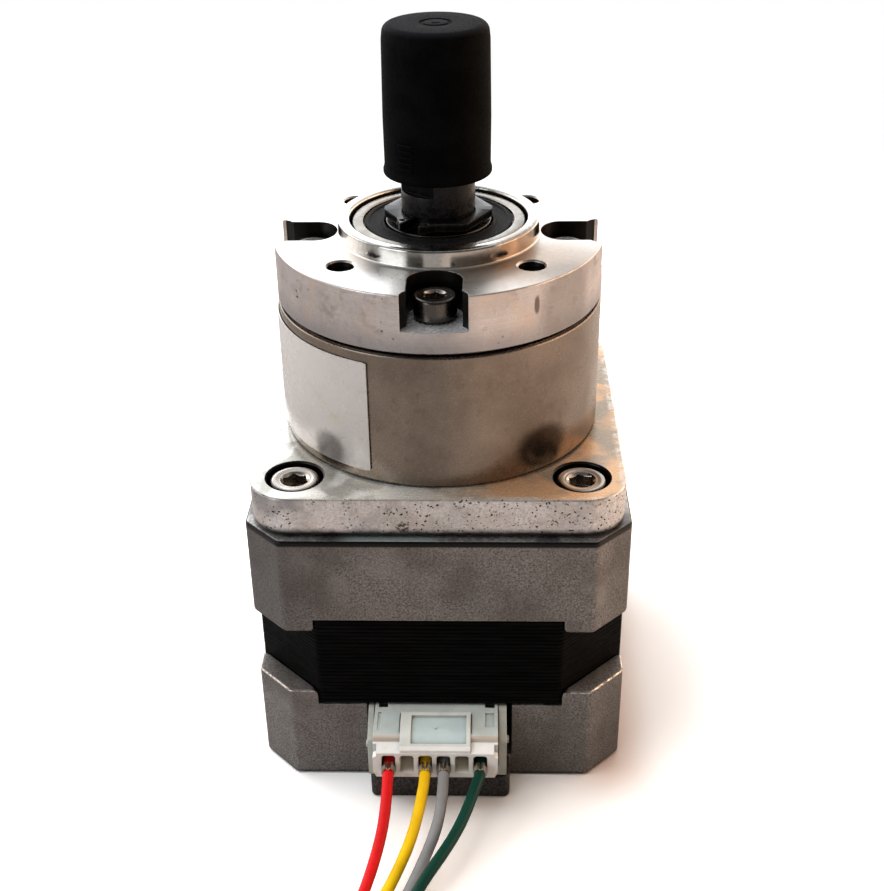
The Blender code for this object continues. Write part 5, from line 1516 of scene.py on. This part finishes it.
def terminal(name, x):
    """Box contact behind, two crimps round the lead and a strip joining them."""
    ob = solid("terminal_" + name + "_crimp", box(x - 0.6, x + 0.6, -25.0, -20.7, 6.5, 7.7))
    cut(ob, box(x - 0.42, x + 0.42, -30, -15, 6.68, 7.52))
    for y0, y1, size in ((-25.5, -24.8, 0.92), (-28.45, -27.35, 1.0)):
        fuse(ob, prism(crimp_outline(x, size), y0, y1, FACE))
    fuse(ob, box(x - 0.45, x + 0.45, -27.5, -25.4, 6.26, 6.6))
    finish(ob, "terminal_" + name, [TIN], angle=40)


def leads():
    for name, (slot, *design) in LEADS.items():
        lead(name, slot, *design)
        terminal(name, CONTACTS[slot])


# --------------------------------------------------------- floor, light, camera
def floor_material():
    s = Shader("pale_floor", (0.86, 0.865, 0.88), rough=0.35, specular=0.4)
    s.paint(s.noise(scale=0.02, rough=0.5), (0.88, 0.88, 0.89))
    # painted warm shadow close to the +x side
    x, y, _ = s.axes()
    beside = y.rise(over=(-27.0, -19.0)) * y.fall(over=(19.0, 27.0))
    shade = x.fall(over=(20.0, 27.0), top=0.60) * beside * x.rise(over=(10.0, 20.0))
    s.paint(shade, (0.50, 0.30, 0.20))
    # painted shade round the motor: the floor is brighter beyond 29 to 40 mm from the axis
    s.colour = s.mix(s.radius().rise(over=(29.0, 40.0)),
                     s.scaled(s.colour, 1.38), s.scaled(s.colour, 1.62))
    s.surface(rough=s.noise(scale=0.05).ramp(to=(0.28, 0.34)))
    # the camera sees a floor that fades into the backdrop away from the motor
    faded = s.add("MixShader", {0: s.radius().rise(over=(90.0, 260.0)), 1: s.bsdf,
                                2: s.add("Emission", {})})
    # other rays meet a darker floor, so less light bounces back
    bounce = s.mix(x.rise(over=(5.0, 70.0)), (0.40, 0.385, 0.375), (0.72, 0.63, 0.56))
    soft = s.add("BsdfDiffuse", {"Color": bounce})
    s.put(s.output.inputs["Surface"],
          s.add("MixShader", {0: s.camera_ray(), 1: soft, 2: faded}))
    return s.material


def studio_floor():
    mesh = bmesh.new()
    bmesh.ops.create_grid(mesh, x_segments=8, y_segments=8, size=2.5)
    ob = bpy.data.objects.new("studio_floor", bpy.data.meshes.new("studio_floor"))
    mesh.to_mesh(ob.data)
    mesh.free()
    bpy.context.scene.collection.objects.link(ob)
    ob.location = (0, 0, -0.00002)
    ob.data.materials.append(floor_material())


def studio_world():
    """Pale room: a bright wall low at +y, dim towards the camera, warm at +x."""
    world = bpy.data.worlds.new("studio")
    bpy.context.scene.world = world
    world.use_nodes = True
    g = Graph(world.node_tree)
    x, y, z = g.xyz(g.add("TexCoord", {}, "Generated"))
    colour = g.mix(x.rise(over=(0.0, 0.8)), (0.97, 0.985, 1.0), (1.0, 0.74, 0.55))
    colour = g.mix(x.fall(over=(-0.85, -0.35), top=0.45), colour, (1.0, 0.86, 0.76))
    back = y.rise(over=(-0.35, 0.45))
    tilted = z + x.ramp(over=(-0.15, 0.15), to=(-0.07, 0.08))
    band = z.rise(over=(0.45, 0.52), top=0.5) * z.fall(over=(0.62, 0.80))
    wall = tilted.ramp(over=(0.39, 0.47), to=(2.6, 0.62)) + band
    sides = (x.ramp(over=(-0.7, 0.0), to=(1.2, 1.0))
             * x.ramp(over=(0.1, 0.8), to=(1.0, 1.35)))
    level = back * wall * sides + 0.10
    # the camera itself sees plain white
    seen = g.camera_ray()
    background = g.add("Background", {"Color": g.mix(seen, colour, (1.0, 1.0, 1.0)),
                                      "Strength": g.add("Mix", {0: seen, 2: level, 3: 1.0})})
    g.node("OutputWorld", {0: background})


def area_light(name, location, target, size, energy, color):
    """Rectangular lamp; places and sizes in metres, energy in watts."""
    light = bpy.data.lights.new(name, "AREA")
    light.shape = "RECTANGLE"
    light.size, light.size_y = size
    light.energy = energy
    light.color = color
    ob = bpy.data.objects.new(name, light)
    bpy.context.scene.collection.objects.link(ob)
    ob.location = location
    ob.rotation_mode = "QUATERNION"
    ob.rotation_quaternion = (Vector(target) - Vector(location)).to_track_quat("-Z", "Y")
    return ob


def lights():
    top = area_light("top_softbox", location=(-0.20, 0.02, 0.62), target=(0, 0, 0.03),
                     size=(0.50, 0.5), energy=3.6, color=(1.0, 0.99, 0.97))
    top.visible_glossy = False       # flat tops mirror the plain room, not the lamp
    area_light("right_warm_fill", location=(0.46, -0.06, 0.16), target=(0, 0, 0.02),
               size=(0.26, 0.2), energy=0.55, color=(1.0, 0.66, 0.42))
    area_light("left_fill", location=(-0.42, -0.34, 0.20), target=(0, 0, 0.03),
               size=(0.30, 0.3), energy=0.9, color=(0.97, 0.99, 1.0))


def camera():
    pitch, yaw, roll = 0.523, -0.033, 0.015          # radians; pitch looks down
    target = Vector((0.517, 0, 32.898))              # before the yaw turn
    distance = 160.878
    data = bpy.data.cameras.new("photo_camera")
    ob = bpy.data.objects.new("photo_camera", data)
    bpy.context.scene.collection.objects.link(ob)
    forward = Vector((0, math.cos(pitch), -math.sin(pitch)))
    above = Vector((0, math.sin(pitch), math.cos(pitch)))
    right = Vector((1, 0, 0))
    rolled = Matrix((math.cos(roll) * right - math.sin(roll) * above,
                     math.sin(roll) * right + math.cos(roll) * above, -forward)).transposed()
    turn = Matrix.Rotation(yaw, 3, "Z").transposed()
    place = turn @ (target - distance * forward)
    ob.matrix_world = Matrix.Translation(place * MM) @ (turn @ rolled).to_4x4()
    data.sensor_fit = "AUTO"
    data.sensor_width = 36.0
    data.lens = 54.285616
    data.shift_x = -0.005338945
    data.shift_y = -0.001783389
    data.clip_start = 0.01
    data.clip_end = 10.0
    scene = bpy.context.scene
    scene.camera = ob
    scene.view_settings.view_transform = "Standard"
    scene.view_settings.look = "None"
    scene.view_settings.exposure = 0.0


for build in (inside_parts, rear_cap, front_cap, lamination_stack, screws, adapter_plate,
              ring_gear, output_flange, output_bearing, output_shaft, retaining_ring,
              rubber_cap, label, header, plug, leads,
              studio_floor, studio_world, lights, camera):
    build()

bpy.context.view_layer.update()
